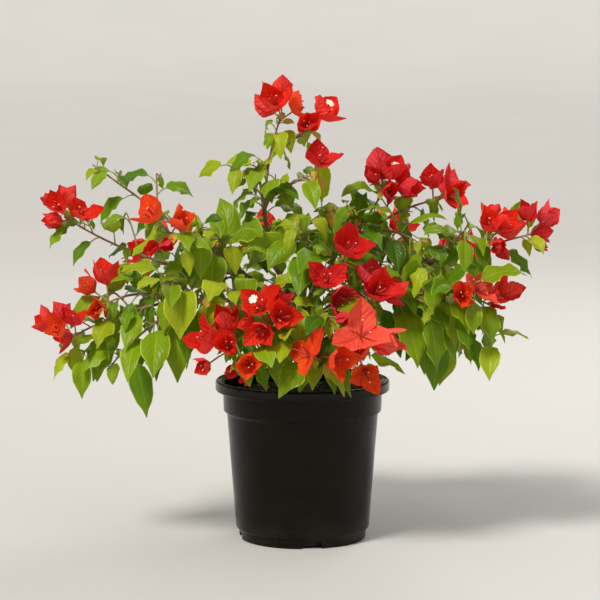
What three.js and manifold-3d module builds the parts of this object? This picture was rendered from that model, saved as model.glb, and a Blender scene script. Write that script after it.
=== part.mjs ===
// A flowering bougainvillea in a black plastic nursery pot.
//
// Millimetres, +Z up, origin at the centre of the pot's flat underside. A bearing is measured
// round the trunk from the front (-Y), positive towards +X.
//
// One short woody trunk stands on the potting mix and forks into boughs. Each bough carries one
// mass of foliage: shoots that fan out from the bough's end, side twigs, leaves, and blooms of
// three papery bracts at the tips. Every mass is one solid that keeps clear of all the others.

import * as THREE from "three";
import { mergeVertices } from "three/addons/utils/BufferGeometryUtils.js";
import Module from "manifold-3d";

const wasm = await Module();
wasm.setup();

// ---------------------------------------------------------------- driving dimensions

const CLEARANCE = 0.35; // between any two solids

const POT = {
  height: 156,
  rimRadius: 85,
  lipHeight: 12.5,
  bandRadius: 77.6,
  bandBottom: 126,
  bodyTopRadius: 73.8,
  bodyFootRadius: 65.4,
  footRadius: 62,
  footHeight: 10,
  wall: 2,
  floor: 2.2,
  facets: 36,
};
const NOTCH = { width: 20, height: 7, count: 4, firstBearing: 8, innerRadius: 54, outerRadius: 72 };
const MIX_TOP = 144.6;

const TRUNK = {
  foot: MIX_TOP + CLEARANCE,
  top: 216,
  flareRadius: 11, // at the foot
  footRadius: 7.6, // just over the flare
  topRadius: 5.6,
  flareFade: 6,
  leanX: -7,
  leanY: 2,
  sides: 10,
  steps: 6,
};
const BOUGH = { tipShare: 0.68, sides: 5, steps: 4 };

// A mass's stem and its shoots. `waver` is the most that a shoot bends to its side, as a share of its length.
const STUB = { length: 8, radiusShare: 0.66, sides: 6 };
const SHOOT = { footRadius: 1.9, tipRadius: 1.2, steps: 4, waver: 0.07 };
const TWIG = {
  length: 40,
  footRadius: 1.2,
  tipRadius: 1,
  steps: 2,
  leaves: 3,
  firstPlace: 0.34, // along its shoot
  placeSpan: 0.4,
  firstLeaf: 0.4, // along the twig
  leafStep: 0.29,
  arch: 0.08,
};
const STEM_SIDES = 3;

// `spread` values are a least share of the length and how much of it chance adds.
const LEAF = {
  widthShare: 0.235, // half the blade's width, as a share of the length
  widest: 0.46, // how far along
  fold: 0.12, // how far the sides stand lower than the ridge, as a share of half the width
  thickness: 0.8,
  stalkHalfWidth: 0.6,
  knee: 0.4, // where the blade starts to droop, as a share of the length
  firstPlace: 0.14, // along its shoot
  placeSpan: 0.8,
  waver: 0.9,
  spread: [0.86, 0.42],
  tipShrink: 0.28, // how much shorter leaves are at a shoot's tip
  sag: [0.38, 0.34],
  hang: [0.6, 0.9], // how much of its sag a leaf takes on
  turns: [0, 1.1, -1.1, 2.4], // tried in turn where a leaf would touch another
};
const BLOOM = {
  bracts: 3,
  length: 33, // of one bract
  spread: [0.79, 0.23],
  opening: [0.45, 0.5], // of a bract from the axis, in radians
  shoulder: 0.44, // where a bract is widest, as a share of its length
  widthShare: 0.34,
  notch: 5, // how far from the middle two bracts meet
  notchRise: 3,
  middle: 0.6, // the middle's top over the pedicel's end
  depth: 2.6, // the middle's bottom below it
  turns: [0, 0.5, -0.5, 1, -1, 1.6], // tried in turn where a bloom would touch another
};
const PEDICEL = { length: 13, spread: [0.85, 0.5], radius: 0.9, sunk: 0.8, firstPlace: 0.985, step: 0.011 };
const GOLDEN_ANGLE = THREE.MathUtils.degToRad(137.5);

// Slivers up to this size are smoothed away where a mass is joined: the first size that works is used.
const CRUMBS = [0.3, 0.2, 0.15, 0.1, 0.06, 0.03];

// The kinds of element that draw their own seeded numbers.
const KIND = { shoot: 0, leaf: 1, bloom: 2, twig: 3, twigLeaf: 4 };

// What a shoot is where the crown's list doesn't say. `arch` is how far its middle rises over a straight
// line, `sway` how far it bends to its side, and `leaf` and `bract` are the lengths of its leaves and bracts.
const PLAIN_SHOOT = { arch: 8, sway: 0, twigs: 0, blooms: 0, leaf: 54, bract: BLOOM.length };

// Each bough leaves the trunk at the height `from` and ends at bearing, reach and height. Its mass's
// shoots run on from there to their own tips, or fork off the mass's shoot `on`, at the share `at` of
// its length.
const CROWN = [
  {
    name: "leader", from: 216, bearing: -97, reach: 26, height: 264, arch: 6, radius: 3.4, seed: 11,
    shoots: [
      { bearing: -75, reach: 20, height: 416, arch: 0, sway: 20, leaves: 10, twigs: 1, blooms: 3, leaf: 50 },
      { bearing: 66, reach: 10, height: 400, on: 0, at: 0.7, arch: 2, leaves: 2, blooms: 2, leaf: 44 },
      { bearing: 25, reach: 30, height: 358, on: 0, at: 0.42, arch: 4, leaves: 3, blooms: 1, leaf: 56 },
      { bearing: -94, reach: 43, height: 370, on: 0, at: 0.26, arch: 4, leaves: 7, leaf: 44 },
      { bearing: 52, reach: 38, height: 326, leaves: 6, leaf: 60 },
    ],
  },
  {
    name: "left_upper", from: 203, bearing: -86, reach: 54, height: 258, arch: 6, radius: 2.8, seed: 23,
    shoots: [
      { bearing: -96, reach: 206, height: 364, arch: 0, leaves: 10, twigs: 1, leaf: 46 },
      { bearing: -86, reach: 230, height: 316, arch: -14, leaves: 9, twigs: 1, blooms: 3, leaf: 50 },
      { bearing: -61, reach: 146, height: 306, leaves: 7, twigs: 1, blooms: 2, leaf: 60 },
      { bearing: -75, reach: 96, height: 304, on: 2, at: 0.2, arch: 10, leaves: 5, leaf: 60 },
    ],
  },
  {
    name: "left_lower", from: 187, bearing: -61, reach: 70, height: 236, arch: 8, radius: 3, seed: 37,
    shoots: [
      { bearing: -79, reach: 230, height: 200, arch: 14, leaves: 9, twigs: 1, blooms: 3 },
      { bearing: -81, reach: 190, height: 234, on: 0, at: 0.35, leaves: 5, blooms: 2, leaf: 52 },
      { bearing: -74, reach: 194, height: 172, arch: 22, leaves: 9, twigs: 1, leaf: 68 },
      { bearing: -65, reach: 148, height: 256, on: 2, at: 0.25, leaves: 6, leaf: 62 },
      { bearing: -80, reach: 222, height: 178, on: 0, at: 0.55, arch: 4, leaves: 5, leaf: 58 },
    ],
  },
  {
    name: "right_upper", from: 209, bearing: 99, reach: 32, height: 260, arch: 5, radius: 2.6, seed: 41,
    shoots: [
      { bearing: 88, reach: 80, height: 341, arch: 4, leaves: 7, twigs: 1, blooms: 6, leaf: 52 },
      { bearing: 98, reach: 136, height: 330, on: 0, at: 0.3, leaves: 6, twigs: 1, blooms: 3, leaf: 50 },
      { bearing: 63, reach: 48, height: 328, arch: 6, leaves: 6, leaf: 56 },
      { bearing: 83, reach: 114, height: 290, on: 1, at: 0.15, leaves: 5, leaf: 56 },
    ],
  },
  {
    name: "right_outer", from: 197, bearing: 83, reach: 68, height: 250, arch: 8, radius: 3, seed: 53,
    shoots: [
      { bearing: 88, reach: 222, height: 299, arch: 2, leaves: 9, twigs: 1, blooms: 2, leaf: 48 },
      { bearing: 81, reach: 182, height: 294, on: 0, at: 0.3, leaves: 5, twigs: 1, blooms: 3, leaf: 50 },
      { bearing: 95, reach: 150, height: 270, on: 0, at: 0.12, leaves: 4 },
    ],
  },
  {
    name: "right_lower", from: 184, bearing: 64, reach: 72, height: 234, arch: 8, radius: 2.8, seed: 67,
    shoots: [
      { bearing: 68, reach: 168, height: 240, leaves: 7, twigs: 1, blooms: 2, leaf: 60 },
      { bearing: 76, reach: 184, height: 234, on: 0, at: 0.35, leaves: 6, twigs: 1, blooms: 2, leaf: 60 },
      { bearing: 57, reach: 148, height: 236, leaves: 5, leaf: 66 },
      { bearing: 82, reach: 156, height: 196, on: 0, at: 0.15, arch: 14, leaves: 7, leaf: 62 },
      { bearing: 76, reach: 188, height: 200, on: 0, at: 0.45, arch: 8, leaves: 5, leaf: 58 },
    ],
  },
  {
    name: "centre", from: 205, bearing: 28, reach: 32, height: 254, arch: 3, radius: 2.4, seed: 71,
    shoots: [
      { bearing: 32, reach: 74, height: 278, arch: 5, leaves: 4, blooms: 2, leaf: 56 },
      { bearing: 16, reach: 86, height: 252, arch: 4, leaves: 3, blooms: 2 },
      { bearing: 40, reach: 100, height: 242, arch: 6, leaves: 4, blooms: 3, leaf: 52 },
      { bearing: -3, reach: 50, height: 310, leaves: 7, leaf: 66 },
    ],
  },
  {
    name: "front_left", from: 175, bearing: -22, reach: 52, height: 224, arch: 5, radius: 2.6, seed: 83,
    shoots: [
      { bearing: -17, reach: 102, height: 228, arch: 5, leaves: 4, blooms: 5, leaf: 50 },
      { bearing: -39, reach: 114, height: 194, leaves: 5, blooms: 3, leaf: 48 },
      { bearing: -29, reach: 116, height: 182, leaves: 5, blooms: 2, leaf: 50 },
      { bearing: -50, reach: 112, height: 252, arch: 6, leaves: 7, leaf: 64 },
      { bearing: -10, reach: 96, height: 198, on: 0, at: 0.3, leaves: 6, leaf: 52 },
    ],
  },
  {
    name: "front_right", from: 170, bearing: 18, reach: 52, height: 220, arch: 5, radius: 2.6, seed: 97,
    shoots: [
      { bearing: 25, reach: 124, height: 206, leaves: 4, blooms: 2, bract: 42 },
      { bearing: 8, reach: 120, height: 190, arch: 7, leaves: 5, blooms: 2, leaf: 60 },
      { bearing: 31, reach: 112, height: 180, leaves: 4, blooms: 2, leaf: 50 },
      { bearing: 10, reach: 108, height: 230, arch: 6, leaves: 5, leaf: 62 },
      { bearing: 2, reach: 90, height: 188, on: 1, at: 0.3, leaves: 6, leaf: 56 },
    ],
  },
  {
    name: "back_left", from: 177, bearing: -132, reach: 62, height: 222, arch: 8, radius: 2.8, seed: 103,
    shoots: [
      { bearing: -126, reach: 182, height: 258, leaves: 8, twigs: 1, blooms: 3 },
      { bearing: -146, reach: 132, height: 268, on: 0, at: 0.2, arch: 4, leaves: 6, twigs: 1, blooms: 2 },
      { bearing: -112, reach: 150, height: 214, leaves: 7, twigs: 1, leaf: 58 },
      { bearing: -160, reach: 120, height: 240, leaves: 5, leaf: 58 },
    ],
  },
  {
    name: "back_right", from: 180, bearing: 131, reach: 64, height: 226, arch: 8, radius: 2.8, seed: 109,
    shoots: [
      { bearing: 124, reach: 184, height: 256, leaves: 8, twigs: 1, blooms: 3 },
      { bearing: 144, reach: 152, height: 278, on: 0, at: 0.2, arch: 6, leaves: 6, twigs: 1, blooms: 3 },
      { bearing: 108, reach: 146, height: 218, leaves: 7, twigs: 1, leaf: 58 },
      { bearing: 156, reach: 124, height: 232, leaves: 5, leaf: 58 },
    ],
  },
  {
    name: "back_high", from: 201, bearing: 166, reach: 30, height: 262, arch: 4, radius: 2.6, seed: 127,
    shoots: [
      { bearing: 158, reach: 84, height: 284, arch: 4, leaves: 6, twigs: 1, blooms: 2 },
      { bearing: -158, reach: 92, height: 282, arch: 6, leaves: 6, twigs: 1, blooms: 2 },
      { bearing: 110, reach: 60, height: 302, arch: 6, leaves: 4 },
    ],
  },
  {
    name: "back_low", from: 166, bearing: 180, reach: 56, height: 192, arch: 7, radius: 2.6, seed: 131,
    shoots: [
      { bearing: -156, reach: 150, height: 186, arch: 10, leaves: 7, twigs: 1, blooms: 3, leaf: 56 },
      { bearing: 158, reach: 154, height: 182, arch: 10, leaves: 7, twigs: 1, blooms: 2, leaf: 56 },
      { bearing: -172, reach: 124, height: 238, arch: 6, leaves: 7, leaf: 60 },
    ],
  },
];

for (const bough of CROWN) bough.shoots = bough.shoots.map((shoot) => ({ ...PLAIN_SHOOT, ...shoot }));

// ---------------------------------------------------------------- materials

const PLASTIC = new THREE.MeshStandardMaterial({ color: 0x1b1a19, roughness: 0.42, metalness: 0 });
const MIX = new THREE.MeshStandardMaterial({ color: 0x2c211a, roughness: 0.95, metalness: 0 });
const BARK = new THREE.MeshStandardMaterial({ color: 0x5f4630, roughness: 0.85, metalness: 0 });
const FOLIAGE = new THREE.MeshStandardMaterial({ color: 0x6f9a2c, roughness: 0.5, metalness: 0 });

// ---------------------------------------------------------------- small helpers

const UP = new THREE.Vector3(0, 0, 1);
const DOWN = new THREE.Vector3(0, 0, -1);
const LIGHT = new THREE.Vector3(0, -1, 0); // the side that the plant has grown towards

// Seeded numbers from 0 to 1: the same seed always grows the same plant.
function seededRandom(seed) {
  let state = Math.imul(seed, 2654435761) >>> 0;
  return () => {
    state = (Math.imul(state, 1664525) + 1013904223) >>> 0;
    return state / 4294967296;
  };
}

// The seeded numbers of one element of a mass, told by its shoot, its kind and its place in the row.
function drawFor(bough, ...place) {
  return seededRandom(place.reduce((seed, n) => 31 * seed + n, bough.seed));
}

// A least value and what chance adds to it.
function spreadBy([least, chance], draw) {
  return least + chance * draw();
}

function polar(bearing, reach, height) {
  const angle = THREE.MathUtils.degToRad(bearing);
  return new THREE.Vector3(reach * Math.sin(angle), -reach * Math.cos(angle), height);
}

// The sum of vectors, each times its weight, as a unit vector.
function blend(...pairs) {
  const sum = new THREE.Vector3();
  for (const [vector, weight] of pairs) sum.addScaledVector(vector, weight);
  return sum.normalize();
}

// Horizontal direction from the trunk's axis to a point.
function outwardAt(point) {
  return new THREE.Vector3(point.x, point.y, 0.001).normalize();
}

// A direction square to `tangent`, turned by `angle` round it from the horizontal.
function radialAt(tangent, angle) {
  const across = new THREE.Vector3().crossVectors(tangent, UP);
  if (across.lengthSq() < 1e-6) across.set(1, 0, 0);
  across.normalize();
  const lift = new THREE.Vector3().crossVectors(across, tangent);
  return blend([across, Math.cos(angle)], [lift, Math.sin(angle)]);
}

// A curve whose middle rises by `arch` over the straight line and sways by `sway` to its side.
function archedCurve(start, end, arch, sway = 0) {
  const across = new THREE.Vector3().subVectors(end, start).cross(UP).normalize();
  const bend = new THREE.Vector3().addVectors(start, end).multiplyScalar(0.5);
  bend.addScaledVector(UP, 2 * arch).addScaledVector(across, 2 * sway);
  return new THREE.QuadraticBezierCurve3(start, bend, end);
}

// A geometry's places alone, with corners closer than `reach` taken as one.
function mergedPlaces(geometry, reach) {
  const bare = geometry.toNonIndexed();
  bare.deleteAttribute("normal");
  bare.deleteAttribute("uv");
  return mergeVertices(bare, reach);
}

// A closed three.js geometry as a solid.
function solidOf(geometry) {
  const merged = mergedPlaces(geometry.index ? geometry : mergeVertices(geometry), 1e-4);
  const solid = new wasm.Manifold(
    new wasm.Mesh({
      numProp: 3,
      vertProperties: merged.attributes.position.array,
      triVerts: new Uint32Array(merged.index.array),
    }),
  );
  if (solid.volume() <= 0) throw new Error("a solid is inside out");
  return solid;
}

function geometryOf(solid) {
  const data = solid.getMesh();
  const geometry = new THREE.BufferGeometry();
  geometry.setAttribute("position", new THREE.BufferAttribute(new Float32Array(data.vertProperties), 3));
  geometry.setIndex(new THREE.BufferAttribute(new Uint32Array(data.triVerts), 1));
  return geometry;
}

function meshOf(solid, name, material) {
  const geometry = geometryOf(solid);
  geometry.computeVertexNormals();
  const mesh = new THREE.Mesh(geometry, material);
  mesh.name = name;
  return mesh;
}

// Makes each item's candidate only when it is asked for.
function* lazily(items, make) {
  for (const item of items) yield make(item);
}

// The main body of a solid, without the crumbs that a cut leaves.
function largestBody(solid) {
  return solid.decompose().reduce((best, body) => (body.volume() > best.volume() ? body : best));
}

// True where each edge belongs to exactly two faces, with corners that nearly coincide taken as one.
function isSound(solid) {
  const corners = mergedPlaces(geometryOf(solid), 1e-3).index.array;
  const faces = new Map();
  for (let i = 0; i < corners.length; i += 3) {
    const [a, b, c] = corners.slice(i, i + 3);
    if (a === b || b === c || c === a) continue;
    for (const [from, to] of [[a, b], [b, c], [c, a]]) {
      const edge = from < to ? `${from},${to}` : `${to},${from}`;
      faces.set(edge, (faces.get(edge) ?? 0) + 1);
    }
  }
  return [...faces.values()].every((count) => count === 2);
}

// ---------------------------------------------------------------- stems

// The place `t` of the way along a curve that is cut into straight steps.
function pointOnSteps(curve, steps, t) {
  const step = Math.min(Math.floor(t * steps), steps - 1);
  const near = curve.getPointAt(step / steps);
  return near.lerp(curve.getPointAt((step + 1) / steps), t * steps - step);
}

// A prism of `sides` sides, bent along a curve and tapered by `radiusAt(t)`.
function limbSolid(curve, radiusAt, sides, steps) {
  const corners = Array.from({ length: sides }, (_, i) => {
    const angle = (2 * Math.PI * i) / sides;
    return new THREE.Vector2(Math.cos(angle), Math.sin(angle));
  });
  const prism = new THREE.ExtrudeGeometry(new THREE.Shape(corners), { depth: 1, steps, bevelEnabled: false });
  const frames = curve.computeFrenetFrames(steps, false);
  const place = prism.attributes.position;
  const corner = new THREE.Vector3();
  for (let i = 0; i < place.count; i++) {
    corner.fromBufferAttribute(place, i);
    const t = corner.z;
    const step = Math.round(t * steps);
    const radius = radiusAt(t);
    const point = curve.getPointAt(t);
    point.addScaledVector(frames.normals[step], corner.x * radius);
    point.addScaledVector(frames.binormals[step], corner.y * radius);
    place.setXYZ(i, point.x, point.y, point.z);
  }
  return solidOf(prism);
}

// The trunk's sections are level, so its foot is a flat cut on the potting mix.
function trunkSolid(grow = 0) {
  const column = new THREE.CylinderGeometry(1, 1, 1, TRUNK.sides, TRUNK.steps).rotateX(Math.PI / 2);
  const place = column.attributes.position;
  const height = TRUNK.top - TRUNK.foot + grow;
  for (let i = 0; i < place.count; i++) {
    const t = place.getZ(i) + 0.5;
    const flare = (TRUNK.flareRadius - TRUNK.footRadius) * (1 - t) ** TRUNK.flareFade;
    const radius = THREE.MathUtils.lerp(TRUNK.footRadius, TRUNK.topRadius, t) + flare + grow;
    const x = place.getX(i) * radius + TRUNK.leanX * t * t;
    const y = place.getY(i) * radius + TRUNK.leanY * t;
    place.setXYZ(i, x, y, TRUNK.foot + height * t);
  }
  return solidOf(column);
}

function trunkAxisAt(height) {
  const t = (height - TRUNK.foot) / (TRUNK.top - TRUNK.foot);
  return new THREE.Vector3(TRUNK.leanX * t * t, TRUNK.leanY * t, height);
}

function boughCurve(bough) {
  const end = polar(bough.bearing, bough.reach, bough.height);
  return archedCurve(trunkAxisAt(bough.from), end, bough.arch);
}

function boughSolid(bough, grow = 0) {
  const radiusAt = (t) => bough.radius * THREE.MathUtils.lerp(1, BOUGH.tipShare, t) + grow;
  return limbSolid(boughCurve(bough), radiusAt, BOUGH.sides, BOUGH.steps);
}

// ---------------------------------------------------------------- leaves and blooms

// A thin blade along a drooping centreline: `aim` is where it sets off, `sag` how far it turns to
// hang down, and `facing` the side that its ridge shows to.
function leafSolid(root, aim, sag, facing, length) {
  const fall = blend([aim, 1 - sag], [DOWN, sag]);
  const knee = root.clone().addScaledVector(aim, LEAF.knee * length);
  const tip = knee.clone().addScaledVector(fall, (1 - LEAF.knee) * length);
  const spine = new THREE.QuadraticBezierCurve3(root, knee, tip);
  const across = new THREE.Vector3().crossVectors(fall, facing).normalize();
  const halfWidths = [LEAF.stalkHalfWidth, LEAF.stalkHalfWidth + LEAF.widthShare * length, 0];
  const segments = halfWidths.length - 1;
  const cone = new THREE.ConeGeometry(1, 1, 3, segments);
  const place = cone.attributes.position;
  for (let i = 0; i < place.count; i++) {
    const row = Math.round((place.getY(i) + 0.5) * segments);
    const along = [0, LEAF.widest, 1][row];
    const taper = 1 - row / segments;
    const cornerX = taper > 0 ? place.getX(i) / taper : 0;
    const cornerZ = taper > 0 ? place.getZ(i) / taper : 0;
    const side = Math.sign(Math.round(cornerX * 10));
    const halfWidth = halfWidths[row];
    const normal = new THREE.Vector3().crossVectors(across, spine.getTangent(along)).normalize();
    const point = spine.getPoint(along).addScaledVector(across, side * halfWidth);
    if (side !== 0) point.addScaledVector(normal, -LEAF.fold * halfWidth);
    else if (cornerZ > 0.5) point.addScaledVector(normal, LEAF.thickness);
    place.setXYZ(i, point.x, point.y, point.z);
  }
  return solidOf(cone);
}

// One leaf at a place on a stem, at a `turn` round it.
function leafAt(stem, steps, t, turn, leaf, draw) {
  const root = pointOnSteps(stem, steps, t);
  const tangent = stem.getTangentAt(t);
  const radial = radialAt(tangent, turn + LEAF.waver * draw());
  const aim = blend([radial, 0.85], [tangent, 0.45], [UP, 0.15]);
  const facing = blend([UP, 0.5], [outwardAt(root), 0.4], [LIGHT, 0.45], [radial, 0.2 + 0.5 * draw()]);
  const sag = spreadBy(LEAF.sag, draw);
  const length = leaf * spreadBy(LEAF.spread, draw) * (1 - LEAF.tipShrink * t ** 3);
  const hang = Math.min(sag * spreadBy(LEAF.hang, draw), 1);
  return leafSolid(root, aim, hang, facing, length);
}

// One bloom: three pointed bracts in a cup round the pedicel's end. Its rim runs through a notch,
// a shoulder, a tip and a shoulder for each bract.
function bloomSolid(centre, axis, bract, draw) {
  const turn = draw() * 2 * Math.PI;
  const opening = spreadBy(BLOOM.opening, draw);
  const length = bract * spreadBy(BLOOM.spread, draw);
  const rim = [];
  for (let i = 0; i < BLOOM.bracts; i++) {
    const angle = turn + (2 * Math.PI * i) / BLOOM.bracts;
    const radial = radialAt(axis, angle);
    const aim = blend([axis, Math.cos(opening)], [radial, Math.sin(opening)]);
    const across = new THREE.Vector3().crossVectors(radial, axis);
    const shoulder = centre.clone().addScaledVector(aim, BLOOM.shoulder * length);
    const halfWidth = BLOOM.widthShare * length;
    const notch = radialAt(axis, angle - Math.PI / BLOOM.bracts);
    rim.push(centre.clone().addScaledVector(axis, BLOOM.notchRise).addScaledVector(notch, BLOOM.notch));
    rim.push(shoulder.clone().addScaledVector(across, -halfWidth));
    rim.push(centre.clone().addScaledVector(aim, length));
    rim.push(shoulder.clone().addScaledVector(across, halfWidth));
  }
  const cup = new THREE.ConeGeometry(1, 1, rim.length, 1);
  const place = cup.attributes.position;
  for (let i = 0; i < place.count; i++) {
    const [x, y, z] = [place.getX(i), place.getY(i), place.getZ(i)];
    const turned = Math.round((Math.atan2(x, z) * rim.length) / (2 * Math.PI));
    let point = rim[(turned + rim.length) % rim.length];
    if (y > 0) point = centre.clone().addScaledVector(axis, -BLOOM.depth);
    else if (Math.hypot(x, z) < 0.5) point = centre.clone().addScaledVector(axis, BLOOM.middle);
    place.setXYZ(i, point.x, point.y, point.z);
  }
  return solidOf(cup);
}

// One of the blooms at a stem's tip, on its pedicel: the first carries on along the stem, and the
// others stand out round it.
function bloomAt(stem, index, shoot, turn, draw) {
  const tip = pointOnSteps(stem, SHOOT.steps, PEDICEL.firstPlace - PEDICEL.step * index);
  const tangent = stem.getTangentAt(1);
  const lead = blend([tangent, 0.4], [UP, 0.65], [outwardAt(tip), 0.25]);
  const round = radialAt(lead, (2 * Math.PI * index) / Math.max(shoot.blooms - 1, 1) + turn);
  const axis = index === 0 ? blend([lead, 1], [round, 0.25]) : blend([lead, 0.7], [round, 0.75]);
  const length = PEDICEL.length * spreadBy(PEDICEL.spread, draw);
  const centre = tip.clone().addScaledVector(axis, length);
  const path = new THREE.LineCurve3(tip, centre.clone().addScaledVector(axis, -PEDICEL.sunk));
  const pedicel = limbSolid(path, () => PEDICEL.radius, STEM_SIDES, 1);
  return [pedicel, bloomSolid(centre, axis, shoot.bract, draw)];
}

// ---------------------------------------------------------------- keeping clear

// The solids that stand in the way so far, each with its owner's name.
const standing = [];

function boxesMeet(a, b) {
  return [0, 1, 2].every((k) => a.min[k] - CLEARANCE < b.max[k] && b.min[k] - CLEARANCE < a.max[k]);
}

// True where `solid` keeps its clearance from everything in the way that passes `minds`.
function isClear(solid, minds) {
  const box = solid.boundingBox();
  const near = standing.filter((other) => minds(other) && boxesMeet(box, other.box));
  return near.every((other) => solid.minGap(other.solid, CLEARANCE) >= CLEARANCE);
}

function stand(solid, owner, kind) {
  standing.push({ solid, owner, kind, box: solid.boundingBox() });
}

// ---------------------------------------------------------------- a mass of foliage

// A mass's own stem: a short stub that carries on just past the bough's end.
function stubCurve(bough) {
  const limb = boughCurve(bough);
  const onward = limb.getTangent(1);
  const start = limb.getPoint(1).addScaledVector(onward, CLEARANCE);
  return new THREE.LineCurve3(start, start.clone().addScaledVector(onward, STUB.length));
}

function stubSolid(bough) {
  return limbSolid(stubCurve(bough), () => STUB.radiusShare * bough.radius, STUB.sides, 1);
}

// Its shoots fan out from the middle of that stub, or fork off an earlier shoot.
function shootCurves(bough) {
  const curves = [];
  bough.shoots.forEach((shoot, index) => {
    const carrier = curves[shoot.on];
    const start = carrier ? pointOnSteps(carrier, SHOOT.steps, shoot.at) : stubCurve(bough).getPoint(0.5);
    const tip = polar(shoot.bearing, shoot.reach, shoot.height);
    const waver = SHOOT.waver * start.distanceTo(tip) * (drawFor(bough, index, KIND.shoot, 0)() - 0.5);
    curves.push(archedCurve(start, tip, shoot.arch, shoot.sway + waver));
  });
  return curves;
}

// A shoot or a side twig, by its kind's sizes.
function stemSolid(curve, { footRadius, tipRadius, steps }) {
  return limbSolid(curve, (t) => THREE.MathUtils.lerp(footRadius, tipRadius, t), STEM_SIDES, steps);
}

// A side twig of a shoot. They stand alternately, between a third of the way and the tip.
function twigCurve(shoot, curve, i, draw) {
  const t = TWIG.firstPlace + (TWIG.placeSpan * (i + draw())) / shoot.twigs;
  const root = pointOnSteps(curve, SHOOT.steps, t);
  const tangent = curve.getTangentAt(t);
  const radial = radialAt(tangent, (i % 2) * Math.PI + 0.9 * (draw() - 0.2));
  const length = TWIG.length * (0.75 + 0.5 * draw());
  const tip = root.clone().addScaledVector(blend([tangent, 0.5], [radial, 0.8], [UP, 0.25]), length);
  return archedCurve(root, tip, TWIG.arch * length);
}

// Adds the first candidate that keeps clear of every solid but its own mass's stems.
function addFirstClear(bough, candidates, kinds) {
  const minds = (item) => item.owner !== bough.name || item.kind !== "stem";
  for (const solids of candidates) {
    if (!solids.every((solid) => isClear(solid, minds))) continue;
    solids.forEach((solid, i) => stand(solid, bough.name, kinds[i]));
    return true;
  }
  return false;
}

function growBlooms(bough) {
  shootCurves(bough).forEach((curve, index) => {
    const shoot = bough.shoots[index];
    for (let i = 0; i < shoot.blooms; i++) {
      const bloomTurned = (turn) => bloomAt(curve, i, shoot, turn, drawFor(bough, index, KIND.bloom, i));
      addFirstClear(bough, lazily(BLOOM.turns, bloomTurned), ["stem", "blade"]);
    }
  });
}

function growLeaves(bough) {
  const addLeaf = (stem, steps, t, k, leaf, place) => {
    const leafTurned = (turn) => [
      leafAt(stem, steps, t, k * GOLDEN_ANGLE + turn, leaf, drawFor(bough, ...place, k)),
    ];
    addFirstClear(bough, lazily(LEAF.turns, leafTurned), ["blade"]);
  };

  shootCurves(bough).forEach((curve, index) => {
    const shoot = bough.shoots[index];
    for (let i = 0; i < shoot.twigs; i++) {
      const twig = twigCurve(shoot, curve, i, drawFor(bough, index, KIND.twig, i));
      if (!addFirstClear(bough, [[stemSolid(twig, TWIG)]], ["stem"])) continue;
      for (let k = 0; k < TWIG.leaves; k++) {
        const t = TWIG.firstLeaf + TWIG.leafStep * k;
        addLeaf(twig, TWIG.steps, t, k, shoot.leaf, [index, KIND.twigLeaf + i]);
      }
    }
    for (let k = 0; k < shoot.leaves; k++) {
      const t = LEAF.firstPlace + (LEAF.placeSpan * (k + 0.25)) / shoot.leaves;
      addLeaf(curve, SHOOT.steps, t, k, shoot.leaf, [index, KIND.leaf]);
    }
  });
}

// A mass's stems, leaves and blooms as one body, clear of its bough.
function massSolid(bough) {
  const grown = standing.filter((item) => item.owner === bough.name && item.kind !== "bough");
  const joined = wasm.Manifold.union(grown.map((item) => item.solid)).subtract(boughSolid(bough, CLEARANCE));
  const tries = CRUMBS.map((size) => largestBody(joined.asOriginal().simplify(size)));
  const best = tries.find(isSound);
  if (!best) throw new Error(`foliage_${bough.name} does not join cleanly`);
  return best;
}

// ---------------------------------------------------------------- pot and potting mix

function lathe(profile, facets) {
  const points = profile.map(([radius, height]) => new THREE.Vector2(radius, height));
  return solidOf(new THREE.LatheGeometry(points, facets).rotateX(Math.PI / 2));
}

function potSolid() {
  const { height, rimRadius, lipHeight, bandRadius, bandBottom, wall } = POT;
  const lipBottom = height - lipHeight;
  const shell = lathe(
    [
      [0, 0],
      [POT.footRadius, 0],
      [POT.footRadius + 0.5, POT.footHeight - 1],
      [POT.bodyFootRadius, POT.footHeight + 1.5],
      [POT.bodyTopRadius, bandBottom - 2.5],
      [bandRadius - 0.6, bandBottom],
      [bandRadius, lipBottom],
      [rimRadius - 1.6, lipBottom],
      [rimRadius, lipBottom + 2.5],
      [rimRadius, height - 3.5],
      [rimRadius - 2, height - 0.6],
      [rimRadius - 5, height],
      [bandRadius - 0.4, height - 2],
      [bandRadius - wall, lipBottom + 3],
      [bandRadius - wall - 0.6, bandBottom + 1],
      [POT.bodyTopRadius - wall, bandBottom - 2.5],
      [POT.bodyFootRadius - wall, POT.footHeight + 1.5],
      [POT.footRadius - wall, POT.floor],
      [0, POT.floor],
    ],
    POT.facets,
  );
  const notches = Array.from({ length: NOTCH.count }, (_, i) => {
    const depth = NOTCH.outerRadius - NOTCH.innerRadius;
    const box = new THREE.BoxGeometry(NOTCH.width, depth, 2 * NOTCH.height);
    box.translate(0, -(NOTCH.innerRadius + NOTCH.outerRadius) / 2, 0);
    box.rotateZ(THREE.MathUtils.degToRad(NOTCH.firstBearing + (360 * i) / NOTCH.count));
    return solidOf(box);
  });
  return shell.subtract(wasm.Manifold.union(notches));
}

function mixSolid() {
  const inset = POT.wall + CLEARANCE + 0.25;
  return lathe(
    [
      [0, POT.floor + CLEARANCE],
      [POT.footRadius - inset, POT.floor + CLEARANCE],
      [POT.bodyFootRadius - inset, POT.footHeight + 1.7],
      [POT.bodyTopRadius - inset, POT.bandBottom - 1.9],
      [POT.bandRadius - 0.6 - inset, POT.bandBottom + 1.6],
      [POT.bandRadius - 0.6 - inset, MIX_TOP - 3],
      [0.75 * POT.bandRadius, MIX_TOP - 1],
      [1.8 * TRUNK.flareRadius, MIX_TOP],
      [0, MIX_TOP],
    ],
    POT.facets,
  );
}

// ---------------------------------------------------------------- the whole plant

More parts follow.
